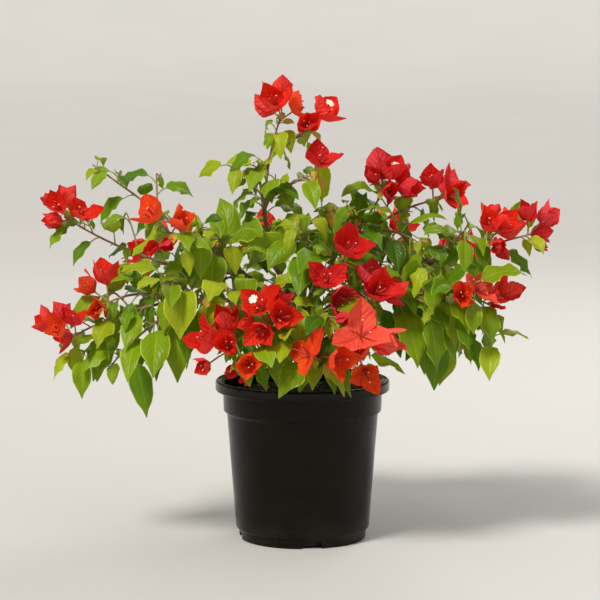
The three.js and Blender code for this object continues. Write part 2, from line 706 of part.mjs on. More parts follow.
const plant = new THREE.Group();

function add(solid, name, material, owner, kind) {
  plant.add(meshOf(solid, name, material));
  stand(solid, owner, kind);
}

add(potSolid(), "pot", PLASTIC, "pot", "pot");
add(mixSolid(), "potting_mix", MIX, "pot", "pot");
add(trunkSolid(), "trunk", BARK, "trunk", "trunk");

const grownTrunk = trunkSolid(CLEARANCE);
for (const bough of CROWN) {
  add(boughSolid(bough).subtract(grownTrunk), `bough_${bough.name}`, BARK, bough.name, "bough");
}
for (const bough of CROWN) {
  stand(stubSolid(bough), bough.name, "stem");
  for (const curve of shootCurves(bough)) stand(stemSolid(curve, SHOOT), bough.name, "stem");
}
// Blooms come first, so that leaves make room for them.
for (const bough of CROWN) growBlooms(bough);
for (const bough of CROWN) growLeaves(bough);
for (const bough of CROWN) plant.add(meshOf(massSolid(bough), `foliage_${bough.name}`, FOLIAGE));

export default plant;
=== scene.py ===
"""A flowering bougainvillea in a black nursery pot: the finish of every surface.

The crown is grown by the same rule as the solids, from the same list of boughs and shoots, and is
carried on to finer twigs, young leaves, flower tubes and buds. Growth is worked out in millimetres
and made into meshes in metres, with the pot's underside at the origin and +Z up.
"""

from collections import defaultdict
from functools import lru_cache
from math import cos, pi, radians, sin

import bmesh
import bpy
import numpy as np
from bpy.props import FloatProperty, FloatVectorProperty, IntProperty, PointerProperty
from mathutils import Matrix, Vector, noise
from mathutils.bvhtree import BVHTree


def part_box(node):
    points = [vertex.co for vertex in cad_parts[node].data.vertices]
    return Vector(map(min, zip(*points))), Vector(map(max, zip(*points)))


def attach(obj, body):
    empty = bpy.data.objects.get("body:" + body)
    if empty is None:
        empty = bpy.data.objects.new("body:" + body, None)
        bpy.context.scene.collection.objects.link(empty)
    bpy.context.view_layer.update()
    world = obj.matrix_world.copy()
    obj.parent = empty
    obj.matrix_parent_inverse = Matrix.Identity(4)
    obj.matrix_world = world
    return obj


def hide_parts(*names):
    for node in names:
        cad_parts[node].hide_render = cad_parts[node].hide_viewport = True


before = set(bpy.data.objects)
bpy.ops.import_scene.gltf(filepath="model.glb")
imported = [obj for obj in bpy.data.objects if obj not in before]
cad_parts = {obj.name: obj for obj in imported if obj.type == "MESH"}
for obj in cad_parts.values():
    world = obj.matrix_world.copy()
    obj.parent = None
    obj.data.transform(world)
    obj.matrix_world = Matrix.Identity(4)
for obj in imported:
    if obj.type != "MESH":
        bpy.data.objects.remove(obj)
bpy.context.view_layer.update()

bl_info = {
    "name": "Potted bougainvillea",
    "version": (1, 0, 0),
    "blender": (4, 5, 0),
    "location": "3D View > Sidebar > Bougainvillea",
    "description": "Dresses a bougainvillea and its nursery pot",
    "category": "Add Mesh",
}

# ---------------------------------------------------------------- driving sizes

MM = 0.001
BODY = "root"
UP = Vector((0, 0, 1))
DOWN = Vector((0, 0, -1))
LIGHT = Vector((0, -1, 0))  # the side that the plant has grown towards
GOLDEN_ANGLE = radians(137.5)

POT_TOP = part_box("pot")[1].z
POT_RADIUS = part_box("pot")[1].x
POT_STEPS = 144
POT_FACES = 4000  # a pot with fewer faces has lost its notches
NOTCH_SIZE = (20, 18, 14)
NOTCH_ROUND = 2.5
NOTCH_REACH = 63
NOTCH_TURN = 8  # how far the first one is turned from the front, in degrees

MIX_TOP = 144.6
MIX_RINGS = 44
MIX_STEPS = 150
MIX_FALL = 2.5  # from the top of the mound to the wall
MIX_FOOT = 58
MIX_SIDE = ((70.5, 122), 128)  # a radius and height part way up, and the height of the side's top
CHIPS_FROM = 14  # clear of the trunk
CHIPS_CLEAR = 6  # of the pot's wall

# Blades keep out of the pot's rim and body, of these radii and below these heights.
RIM_BORE, RIM_REACH, RIM_CLEAR = 73, 87, 157.5
BODY_REACH, BODY_CLEAR = 80, 128

TRUNK_FOOT = 144.95
TRUNK_TOP = 216
TRUNK_FLARE = 11
TRUNK_RADII = (7.6, 5.6)
TRUNK_LEAN = (-7, 2)
TRUNK_SUNK = 3  # how far the skin reaches into the mix
TRUNK_STEPS = 40
FLARE_FADE = 6
BOUGH_STEPS = 16
BOUGH_TIP_SHARE = 0.68
COLLAR_SWELL, COLLAR_FADE = 0.5, 9
WOOD_VOXEL = 0.7

STUB_GAP = 0.35
STUB_LENGTH = 8
SHOOT_RADII = (1.9, 0.8)
SHOOT_WAVER = 0.07
TWIG_RADII = (1.1, 0.8)
TWIG_LENGTH = 40
TWIG_SIZES = (0.75, 0.5)  # against that length; a pair is the least, and what chance adds
TWIG_LEAVES = 3
SPRIG_RADII = (0.75, 0.5)
SPRIG_LENGTH = (13, 13)
SPRIG_PITCH = 54  # between the fine twigs along a shoot
SPRIG_LEAVES = 2
SPRIG_SIZES = (0.48, 0.26)  # against the shoot's leaves
TIP_LEAVES = 3
STALK_SHARE = 0.25  # a leaf's stalk, as a share of its length
STALK_RADII = (0.75, 0.55)
PEDICEL_LENGTH = 13
PEDICEL_SIZES = (0.85, 0.5)
PEDICEL_RADII = (0.7, 0.85)
BUD_STALK_RADII = (0.7, 0.8)
BUD_HUE = "crimson"
BUD_REACH = (12, 6)
BUD_LENGTH = (13, 6)
BUD_OPENING = 0.16
TUBE_SHARE = 0.5  # a flower tube's length, as a share of its bract's
TUBE_SIZES = (0.8, 0.35)
TUBE_LEAN = (0.3, 0.25)  # against its bract's
TUBE_RADII = (0.7, 1.15, 0.9, 0.75, 0.9)
MOUTH_RADII = (0.75, 0.82, 0.5)

LEAF_WIDTH = 0.192  # half the blade's width, as a share of the leaf's length
LEAF_SLIM = (0.86, 0.26)  # against that width
LEAF_SIZES = (0.86, 0.42)  # against the shoot's own size
LEAF_SAG = (0.38, 0.34)
LEAF_FOLD = (0.12, 0.6)
LEAF_BOW = (0.2, 0.4)
LEAF_WAVES = (0.02, 0.046)
LEAF_KNEE = 0.4
LEAF_LIFT = 0.25  # how far a blade rises before it hangs
LEAF_HANG = (0.6, 0.9)  # how far it hangs, against its solid
THORN_LENGTH = 5
THORN_RADII = (0.7, 0.12)
LEAF_TURNS = (0, 1.1, -1.1, 2.4)
BRACT_LENGTH = 33
BRACT_WIDTH = 0.4
BRACT_BREADTH = (0.86, 0.2)  # against that width
BRACT_REACH = (0.86, 0.22)
BRACT_CUP = (0.12, 0.42)
BRACT_WAVES = (0.03, 0.045)
OPEN_MOUTHS = 0.45
BRACT_BELLY = 0.42  # how far a bract leans out at its foot
MORE_BLOOMS = 0.5  # the smaller blooms that crowd round each of the first ones
MORE_OPENING = (0.3, 0.5)
MORE_TRIES = 22
BLOOM_OPENING = (0.45, 0.5)
BLOOM_SIZES = (0.79, 0.23)
BLOOM_TURNS = (0, 0.5, -0.5, 1, -1, 1.6)

# Where elements stand on their stem: the first place, and the span or the step to the next one.
TWIG_SPAN = (0.34, 0.4)
LEAF_SPAN = (0.14, 0.8)
SPRIG_SPAN = (0.12, 0.8)
MORE_SPAN = (0.9, 0.09)
BLOOM_STEP = (0.985, -0.011)
TWIG_LEAF_STEP = (0.4, 0.29)
SPRIG_LEAF_STEP = (0.45, 0.27)
TIP_LEAF_STEP = (0.97, -0.025)
BUD_PLACE = 0.95

LEAF_KINDS = ("deep", "mid", "bright", "fresh", "young")
LEAF_SHADES = (0.3, 0.55, 0.82, 1.22)  # the limits between them
ODD_HUES = 0.16  # how often a bloom is redder or lighter than its cluster
NEAR_HUES = {  # a redder or older neighbour, and a lighter one
    "crimson": ("rose", "scarlet"), "scarlet": ("crimson", "orange"), "orange": ("scarlet", "salmon"),
    "salmon": ("salmon", "salmon"), "rose": ("crimson", "scarlet"),
}

# The kinds of element that draw their own seeded numbers.
SHOOT, LEAF, BLOOM, TWIG, TWIG_LEAF = 0, 1, 2, 3, 4
SPRIG, SPRIG_LEAF, TIP_LEAF, BUD, MORE, SHAPE = 40, 60, 90, 95, 120, 7


def bough(name, start, bearing, reach, height, arch, radius, seed, shoots):
    return {
        "name": name, "from": start, "end": (bearing, reach, height),
        "arch": arch, "radius": radius, "seed": seed, "shoots": shoots,
    }


def shoot(bearing, reach, height, arch=8, sway=0, on=None, at=0, leaves=0, twigs=0, blooms=0,
          leaf=54, bract=BRACT_LENGTH, flare=0.0, hue="scarlet", green=0.5, stars=0, buds=0,
          more=MORE_BLOOMS, sprigs=0, spare=1.0, tips=None):
    """One shoot: where its tip is, what it forks off, what it bears, and its colours."""
    return {
        "tip": (bearing, reach, height), "arch": arch, "sway": sway, "on": on, "at": at,
        "leaves": leaves, "twigs": twigs, "blooms": blooms, "leaf": leaf, "bract": bract, "flare": flare,
        "hue": hue, "green": green, "stars": stars, "buds": buds, "more": more, "sprigs": sprigs,
        "spare": spare, "tips": tips,
    }


# A bough leaves the trunk at the height of its second value and ends at bearing, reach and height.
# `green` is how young the leaves look, from dark (0) to yellow-green (1).
CROWN = [
    bough("leader", 216, -97, 26, 264, arch=6, radius=3.4, seed=11, shoots=[
        shoot(-75, 20, 416, arch=0, sway=20, leaves=10, twigs=1, blooms=3, leaf=50, stars=1, green=0.7),
        shoot(66, 10, 400, on=0, at=0.7, arch=2, leaves=2, blooms=2, leaf=44, stars=1, green=0.8),
        shoot(25, 30, 358, on=0, at=0.42, arch=4, leaves=3, blooms=1, leaf=56, green=0.9),
        shoot(-94, 43, 370, on=0, at=0.26, arch=4, leaves=7, leaf=44, green=0.75),
        shoot(52, 38, 326, leaves=6, leaf=60, green=0.8),
    ]),
    bough("left_upper", 203, -86, 54, 258, arch=6, radius=2.8, seed=23, shoots=[
        shoot(-96, 206, 364, arch=0, leaves=10, twigs=1, leaf=46, green=0.35, tips=0.7),
        shoot(-86, 230, 316, arch=-14, leaves=9, twigs=1, blooms=3, leaf=50, stars=1, spare=0.8,
              tips=0.8),
        shoot(-61, 146, 306, leaves=7, twigs=1, blooms=2, leaf=60, hue="orange", green=0.85, buds=2),
        shoot(-75, 96, 304, on=2, at=0.2, arch=10, leaves=5, leaf=60, green=0.75),
    ]),
    bough("left_lower", 187, -61, 70, 236, arch=8, radius=3, seed=37, shoots=[
        shoot(-79, 230, 200, arch=14, leaves=9, twigs=1, blooms=3, green=0.6, spare=0.85, tips=0.95),
        shoot(-81, 190, 234, on=0, at=0.35, leaves=5, blooms=2, leaf=52, buds=1, spare=0.9),
        shoot(-74, 194, 172, arch=22, leaves=9, twigs=1, leaf=68, green=0.45),
        shoot(-65, 148, 256, on=2, at=0.25, leaves=6, leaf=62, green=0.75),
        shoot(-80, 222, 178, on=0, at=0.55, arch=4, leaves=5, leaf=58, green=0.5, tips=0.9),
    ]),
    bough("right_upper", 209, 99, 32, 260, arch=5, radius=2.6, seed=41, shoots=[
        shoot(88, 80, 341, arch=4, leaves=7, twigs=1, blooms=6, leaf=52, hue="crimson", stars=1,
              buds=2, more=2.3),
        shoot(98, 136, 330, on=0, at=0.3, leaves=6, twigs=1, blooms=3, leaf=50, hue="crimson", green=0.6),
        shoot(63, 48, 328, arch=6, leaves=6, leaf=56, green=0.4),
        shoot(83, 114, 290, on=1, at=0.15, leaves=5, leaf=56, green=0.5),
    ]),
    bough("right_outer", 197, 83, 68, 250, arch=8, radius=3, seed=53, shoots=[
        shoot(88, 222, 299, arch=2, leaves=9, twigs=1, blooms=2, leaf=48, hue="crimson", buds=1, spare=0.85,
              tips=0.8, sprigs=-2),
        shoot(81, 182, 294, on=0, at=0.3, leaves=5, twigs=1, blooms=3, leaf=50, buds=1, spare=0.85,
              sprigs=-2),
        shoot(95, 150, 270, on=0, at=0.12, leaves=4, green=0.65),
    ]),
    bough("right_lower", 184, 64, 72, 234, arch=8, radius=2.8, seed=67, shoots=[
        shoot(68, 168, 240, leaves=7, twigs=1, blooms=2, leaf=60, hue="orange", green=0.6),
        shoot(76, 184, 234, on=0, at=0.35, leaves=6, twigs=1, blooms=2, leaf=60, buds=2, spare=0.9),
        shoot(57, 148, 236, leaves=5, leaf=66, green=0.55),
        shoot(82, 156, 196, on=0, at=0.15, arch=14, leaves=7, leaf=62, green=0.3, tips=0.9),
        shoot(76, 188, 200, on=0, at=0.45, arch=8, leaves=5, leaf=58, green=0.45, tips=0.9),
    ]),
    bough("centre", 205, 28, 32, 254, arch=3, radius=2.4, seed=71, shoots=[
        shoot(32, 74, 278, arch=5, leaves=4, blooms=2, leaf=56, green=0.45, buds=1),
        shoot(16, 86, 252, arch=4, leaves=3, blooms=2, hue="crimson", green=0.3),
        shoot(40, 100, 242, arch=6, leaves=4, blooms=3, leaf=52, hue="crimson", green=0.4, buds=1),
        shoot(-3, 50, 310, leaves=7, leaf=66, green=0.7),
    ]),
    bough("front_left", 175, -22, 52, 224, arch=5, radius=2.6, seed=83, shoots=[
        shoot(-17, 102, 228, arch=5, leaves=4, blooms=5, leaf=50, stars=1, more=1.6, green=0.45),
        shoot(-39, 114, 194, leaves=5, blooms=3, leaf=48, green=0.4),
        shoot(-29, 116, 182, leaves=5, blooms=2, leaf=50, hue="orange", green=0.5, buds=2),
        shoot(-50, 112, 252, arch=6, leaves=7, leaf=64, green=0.65),
        shoot(-10, 96, 198, on=0, at=0.3, leaves=6, leaf=52, green=0.85, sprigs=3),
    ]),
    bough("front_right", 170, 18, 52, 220, arch=5, radius=2.6, seed=97, shoots=[
        shoot(25, 124, 206, leaves=4, blooms=2, bract=42, flare=0.35, hue="salmon", green=0.5),
        shoot(8, 120, 190, arch=7, leaves=5, blooms=2, leaf=60, flare=0.3, hue="orange", green=0.7),
        shoot(31, 112, 180, leaves=4, blooms=2, leaf=50, green=0.5),
        shoot(10, 108, 230, arch=6, leaves=5, leaf=62, green=0.4, buds=1),
        shoot(2, 90, 188, on=1, at=0.3, leaves=6, leaf=56, green=0.6, sprigs=4),
    ]),
    bough("back_left", 177, -132, 62, 222, arch=8, radius=2.8, seed=103, shoots=[
        shoot(-126, 182, 258, leaves=8, twigs=1, blooms=3, buds=1, spare=0.85, more=0.3),
        shoot(-146, 132, 268, on=0, at=0.2, arch=4, leaves=6, twigs=1, blooms=2, green=0.7),
        shoot(-112, 150, 214, leaves=7, twigs=1, leaf=58, green=0.35),
        shoot(-160, 120, 240, leaves=5, leaf=58),
    ]),
    bough("back_right", 180, 131, 64, 226, arch=8, radius=2.8, seed=109, shoots=[
        shoot(124, 184, 256, leaves=8, twigs=1, blooms=3, hue="crimson", buds=1),
        shoot(144, 152, 278, on=0, at=0.2, arch=6, leaves=6, twigs=1, blooms=3, stars=1, green=0.7),
        shoot(108, 146, 218, leaves=7, twigs=1, leaf=58, green=0.35),
        shoot(156, 124, 232, leaves=5, leaf=58),
    ]),
    bough("back_high", 201, 166, 30, 262, arch=4, radius=2.6, seed=127, shoots=[
        shoot(158, 84, 284, arch=4, leaves=6, twigs=1, blooms=2, hue="orange", green=0.7),
        shoot(-158, 92, 282, arch=6, leaves=6, twigs=1, blooms=2, green=0.6),
        shoot(110, 60, 302, arch=6, leaves=4, green=0.6),
    ]),
    bough("back_low", 166, 180, 56, 192, arch=7, radius=2.6, seed=131, shoots=[
        shoot(-156, 150, 186, arch=10, leaves=7, twigs=1, blooms=3, leaf=56, green=0.4),
        shoot(158, 154, 182, arch=10, leaves=7, twigs=1, blooms=2, leaf=56, hue="salmon", green=0.4),
        shoot(-172, 124, 238, arch=6, leaves=7, leaf=60, green=0.5),
    ]),
]

# ---------------------------------------------------------------- seeded numbers and directions


def seeded(seed):
    """Seeded numbers from 0 to 1: the same seed always grows the same plant."""
    mask = 0xFFFFFFFF
    state = (seed * 2654435761) & mask

    def draw():
        nonlocal state
        state = (state * 1664525 + 1013904223) & mask
        return state / 4294967296

    return draw


def draw_for(limb, *place):
    """The seeded numbers of one element, told by its shoot, its kind and its place in the row."""
    seed = limb["seed"]
    for n in place:
        seed = 31 * seed + n
    return seeded(seed)


def spaced(pair, n):
    """The first of a pair, and the second `n` times."""
    return pair[0] + pair[1] * n


def chance(pair, draw):
    """The first of a pair, and by chance up to the second more."""
    return spaced(pair, draw())


def polar(bearing, reach, height):
    angle = radians(bearing)
    return Vector((reach * sin(angle), -reach * cos(angle), height))


def blend(*pairs):
    total = Vector((0, 0, 0))
    for vector, weight in pairs:
        total += vector * weight
    return total.normalized()


def outward_at(point):
    return Vector((point.x, point.y, 0.001)).normalized()


def radial_at(tangent, angle):
    """A direction square to `tangent`, turned by `angle` round it from the horizontal."""
    across = tangent.cross(UP)
    if across.length_squared < 1e-6:
        across = Vector((1, 0, 0))
    across.normalize()
    return blend((across, cos(angle)), (across.cross(tangent), sin(angle)))


class Arc:
    """A curve whose middle rises by `arch` over the straight line and sways by `sway` to its side."""

    SHARES = np.linspace(0, 1, 41)

    def __init__(self, start, end, arch, sway=0):
        across = (end - start).cross(UP).normalized()
        self.start, self.end = start, end
        self.bend = (start + end) / 2 + UP * (2 * arch) + across * (2 * sway)
        walk = [self.raw(u) for u in self.SHARES]
        steps = [(b - a).length for a, b in zip(walk, walk[1:])]
        self.walked = np.concatenate(([0.0], np.cumsum(steps)))
        self.length = float(self.walked[-1])

    def raw(self, u):
        return self.start * (1 - u) ** 2 + self.bend * (2 * u * (1 - u)) + self.end * u ** 2

    def share(self, t):
        return float(np.interp(t * self.length, self.walked, self.SHARES))

    def point(self, t):
        return self.raw(self.share(t))

    def tangent(self, t):
        u = self.share(t)
        return ((self.bend - self.start) * (1 - u) + (self.end - self.bend) * u).normalized()


# ---------------------------------------------------------------- blades


def grid_template(columns, rows):
    """A flat grid's faces, and how far along and to which side each corner lies."""
    grid = bmesh.new()
    bmesh.ops.create_grid(grid, x_segments=columns, y_segments=rows, size=1)
    grid.verts.ensure_lookup_table()
    side = np.array([v.co.x for v in grid.verts])
    along = np.array([(v.co.y + 1) / 2 for v in grid.verts])
    faces = np.array([[v.index for v in f.verts] for f in grid.faces])
    grid.free()
    return {"side": side, "along": along, "faces": faces, "uv": np.stack([(side + 1) / 2, along], axis=1)}


LEAF_GRID = grid_template(6, 8)
BRACT_GRID = grid_template(6, 8)
PETAL_GRID = grid_template(2, 3)


def outline(along, base_power, tip_power, pinch):
    """Half the width of an egg-shaped blade with a drawn-out tip, with 1 at its widest."""
    widest = base_power / (base_power + tip_power)
    most = widest ** base_power * (1 - widest) ** tip_power
    bare = np.clip(along, 0, 1) ** base_power * np.clip(1 - along, 0, 1) ** tip_power / most
    drawn = np.clip((along - 0.6) / 0.35, 0, 1)
    return 0.03 + 0.97 * bare * (1 - pinch * drawn * drawn * (3 - 2 * drawn))


def bent_grid(grid, spine, across, half, lift, twist=0.0):
    """The grid's corners along a spine of four points, `half` wide to each side and raised by `lift`."""
    u = grid["along"][:, None]
    a, b, c, d = (np.array(point) for point in spine)
    line = a * (1 - u) ** 3 + b * (3 * u * (1 - u) ** 2) + c * (3 * u ** 2 * (1 - u)) + d * u ** 3
    tangent = (b - a) * (1 - u) ** 2 + (c - b) * (2 * u * (1 - u)) + (d - c) * u ** 2
    tangent /= np.linalg.norm(tangent, axis=1, keepdims=True)
    flat = np.array(across) - tangent * (tangent @ np.array(across))[:, None]
    flat /= np.linalg.norm(flat, axis=1, keepdims=True)
    normal = np.cross(flat, tangent)
    angle = twist * (u - 0.25)
    turned = flat * np.cos(angle) + normal * np.sin(angle)
    normal = normal * np.cos(angle) - flat * np.sin(angle)
    return line + turned * (grid["side"] * half)[:, None] + normal * lift[:, None]


def ripples(grid, waves, phase):
    """Waves along a blade's margins, out of step from one side to the other and flat at the midrib."""
    side, along = grid["side"], grid["along"]
    wave = np.sin(2 * pi * waves * along + phase + np.sign(side) * 1.2)
    return wave * side ** 2 * np.sin(pi * along) ** 0.5


def leaf_places(root, aim, sag, facing, length, draw):
    """One leaf's blade: it rises on its stalk, arches over and hangs with a drawn-out tip."""
    sag = min(sag * chance(LEAF_HANG, draw), 1)
    fall = blend((aim, 1 - sag), (DOWN, sag))
    tip = root + aim * (LEAF_KNEE * length) + fall * ((1 - LEAF_KNEE) * length)
    start = root + aim * (STALK_SHARE * length)
    rise = blend((aim, 1), (fall, 0.5), (UP, LEAF_LIFT))
    hang = blend((fall, 1), (DOWN, 0.5 + 0.5 * draw()))
    spine = (start, start + rise * (0.2 * length), tip - hang * (0.3 * length), tip)
    side, along = LEAF_GRID["side"], LEAF_GRID["along"]
    half = outline(along, 0.6, 0.72, 0.5) * (LEAF_WIDTH * chance(LEAF_SLIM, draw) * length)
    fold, bow = chance(LEAF_FOLD, draw), chance(LEAF_BOW, draw)
    waved = ripples(LEAF_GRID, 1.7 + draw(), 2 * pi * draw()) * (length * chance(LEAF_WAVES, draw))
    lift = half * (fold * np.abs(side) - bow * side ** 2) + waved
    across = fall.cross(facing).normalized()
    return start, bent_grid(LEAF_GRID, spine, across, half, lift, 1.6 * (draw() - 0.5))


def bract_places(centre, axis, angle, opening, length, draw):
    """One papery bract of a bloom: it cups round the flower tube, crumples and tips outwards."""
    radial = radial_at(axis, angle)
    opening = opening + 0.5 * (draw() - 0.5)

    def leaning(angle_out):
        return axis * cos(angle_out) + radial * sin(angle_out)

    reach = length * chance(BRACT_REACH, draw)
    start = centre + radial * 0.6 - axis * 0.8
    tip = start + leaning(opening) * reach
    curl = opening - 0.3 + 0.85 * draw()
    belly = start + leaning(opening + BRACT_BELLY) * (0.36 * reach)
    spine = (start, belly, tip - leaning(curl) * (0.3 * reach), tip)
    side, along = BRACT_GRID["side"], BRACT_GRID["along"]
    half = outline(along, 0.44, 0.7, 0.4) * (BRACT_WIDTH * length * chance(BRACT_BREADTH, draw))
    cup = chance(BRACT_CUP, draw)
    ruffle = ripples(BRACT_GRID, 1.6 + draw(), 2 * pi * draw()) * (length * chance(BRACT_WAVES, draw))
    phase = 2 * pi * draw()
    folds = np.sin(8 * along + 2.2 * side + phase) * np.cos(4.1 * side - 5 * along + phase)
    crumple = folds * (0.03 * length) - 0.05 * length * (1 - np.abs(side))
    lift = half * cup * side ** 2 + ruffle + crumple * np.sin(pi * along)
    return bent_grid(BRACT_GRID, spine, radial.cross(axis), half, lift, 1.2 * (draw() - 0.5))


# ---------------------------------------------------------------- keeping clear


class Standing:
    """The blades and stems that stand in the way so far."""

    def __init__(self):
        self.low = np.zeros((0, 3))
        self.high = np.zeros((0, 3))
        self.trees = []
        self.owners = []

    def is_clear(self, places, faces, owner):
        """True where a blade touches nothing but its own mass's stems."""
        if hits_pot(places):
            return False
        low, high = places.min(axis=0), places.max(axis=0)
        near = np.nonzero(((self.low < high) & (self.high > low)).all(axis=1))[0]
        near = [i for i in near if self.owners[i] != owner]
        if not near:
            return True
        tree = BVHTree.FromPolygons(places.tolist(), faces.tolist())
        return not any(tree.overlap(self.trees[i]) for i in near)

    def add(self, places, faces, owner=""):
        self.low = np.vstack([self.low, places.min(axis=0)])
        self.high = np.vstack([self.high, places.max(axis=0)])
        self.trees.append(BVHTree.FromPolygons(places.tolist(), faces.tolist()))
        self.owners.append(owner)


def hits_pot(places):
    """True where any corner lies in the pot's wall, in its rim or in the potting mix."""
    reach = np.hypot(places[:, 0], places[:, 1])
    in_rim = (reach > RIM_BORE) & (reach < RIM_REACH) & (places[:, 2] < RIM_CLEAR)
    in_mix = (reach <= RIM_BORE) & (places[:, 2] < MIX_TOP + 1)
    in_body = (reach < BODY_REACH) & (places[:, 2] < BODY_CLEAR)
    return bool((in_rim | in_mix | in_body).any())


def rod_places(points, radius):
    """A three-sided rod along points, to test against."""
    places, faces = [], []
    for k, point in enumerate(points):
        onward = points[min(k + 1, len(points) - 1)] - points[max(k - 1, 0)]
        for corner in range(3):
            places.append(point + radial_at(onward.normalized(), corner * 2 * pi / 3) * radius)
        if k:
            for corner in range(3):
                a, b = 3 * k + corner, 3 * k + (corner + 1) % 3
                faces.append([a - 3, b - 3, b, a])
    return np.array([tuple(p) for p in places]), np.array(faces)


# ---------------------------------------------------------------- growing the crown


def trunk_axis_at(height):
    t = (height - TRUNK_FOOT) / (TRUNK_TOP - TRUNK_FOOT)
    return Vector((TRUNK_LEAN[0] * t * t, TRUNK_LEAN[1] * t, height))


def bough_arc(limb):
    return Arc(trunk_axis_at(limb["from"]), polar(*limb["end"]), limb["arch"])


def stub_ends(limb):
    """The ends of the short stem that a mass grows from."""
    arc = bough_arc(limb)
    onward = arc.tangent(1)
    start = arc.point(1) + onward * STUB_GAP
    return start, start + onward * STUB_LENGTH


def shoots_of(limb):
    """A mass's shoots as index, arc and plan. They fork off its stub, or off an earlier shoot."""
    low, high = stub_ends(limb)
    shoots = []
    for index, plan in enumerate(limb["shoots"]):
        on = plan["on"]
        start = low.lerp(high, 0.5) if on is None else shoots[on][1].point(plan["at"])
        tip = polar(*plan["tip"])
        waver = SHOOT_WAVER * (tip - start).length * (draw_for(limb, index, SHOOT, 0)() - 0.5)
        shoots.append((index, Arc(start, tip, plan["arch"], plan["sway"] + waver), plan))
    return shoots


def twig_arc(arc, plan, i, draw):
    t = spaced(TWIG_SPAN, (i + draw()) / plan["twigs"])
    tangent = arc.tangent(t)
    radial = radial_at(tangent, (i % 2) * pi + 0.9 * (draw() - 0.2))
    length = TWIG_LENGTH * chance(TWIG_SIZES, draw)
    root = arc.point(t)
    return Arc(root, root + blend((tangent, 0.5), (radial, 0.8), (UP, 0.25)) * length, 0.08 * length)


def leaf_kind(shade):
    """The colour of a leaf, from deep green in the crown to yellow and bronze at the young tips."""
    return LEAF_KINDS[sum(shade > limit for limit in LEAF_SHADES)]


def near_hue(hue, drawn):
    """Most blooms of a cluster share its hue, and a few are a step away."""
    older, lighter = NEAR_HUES[hue]
    return older if drawn < ODD_HUES else lighter if drawn > 1 - ODD_HUES else hue


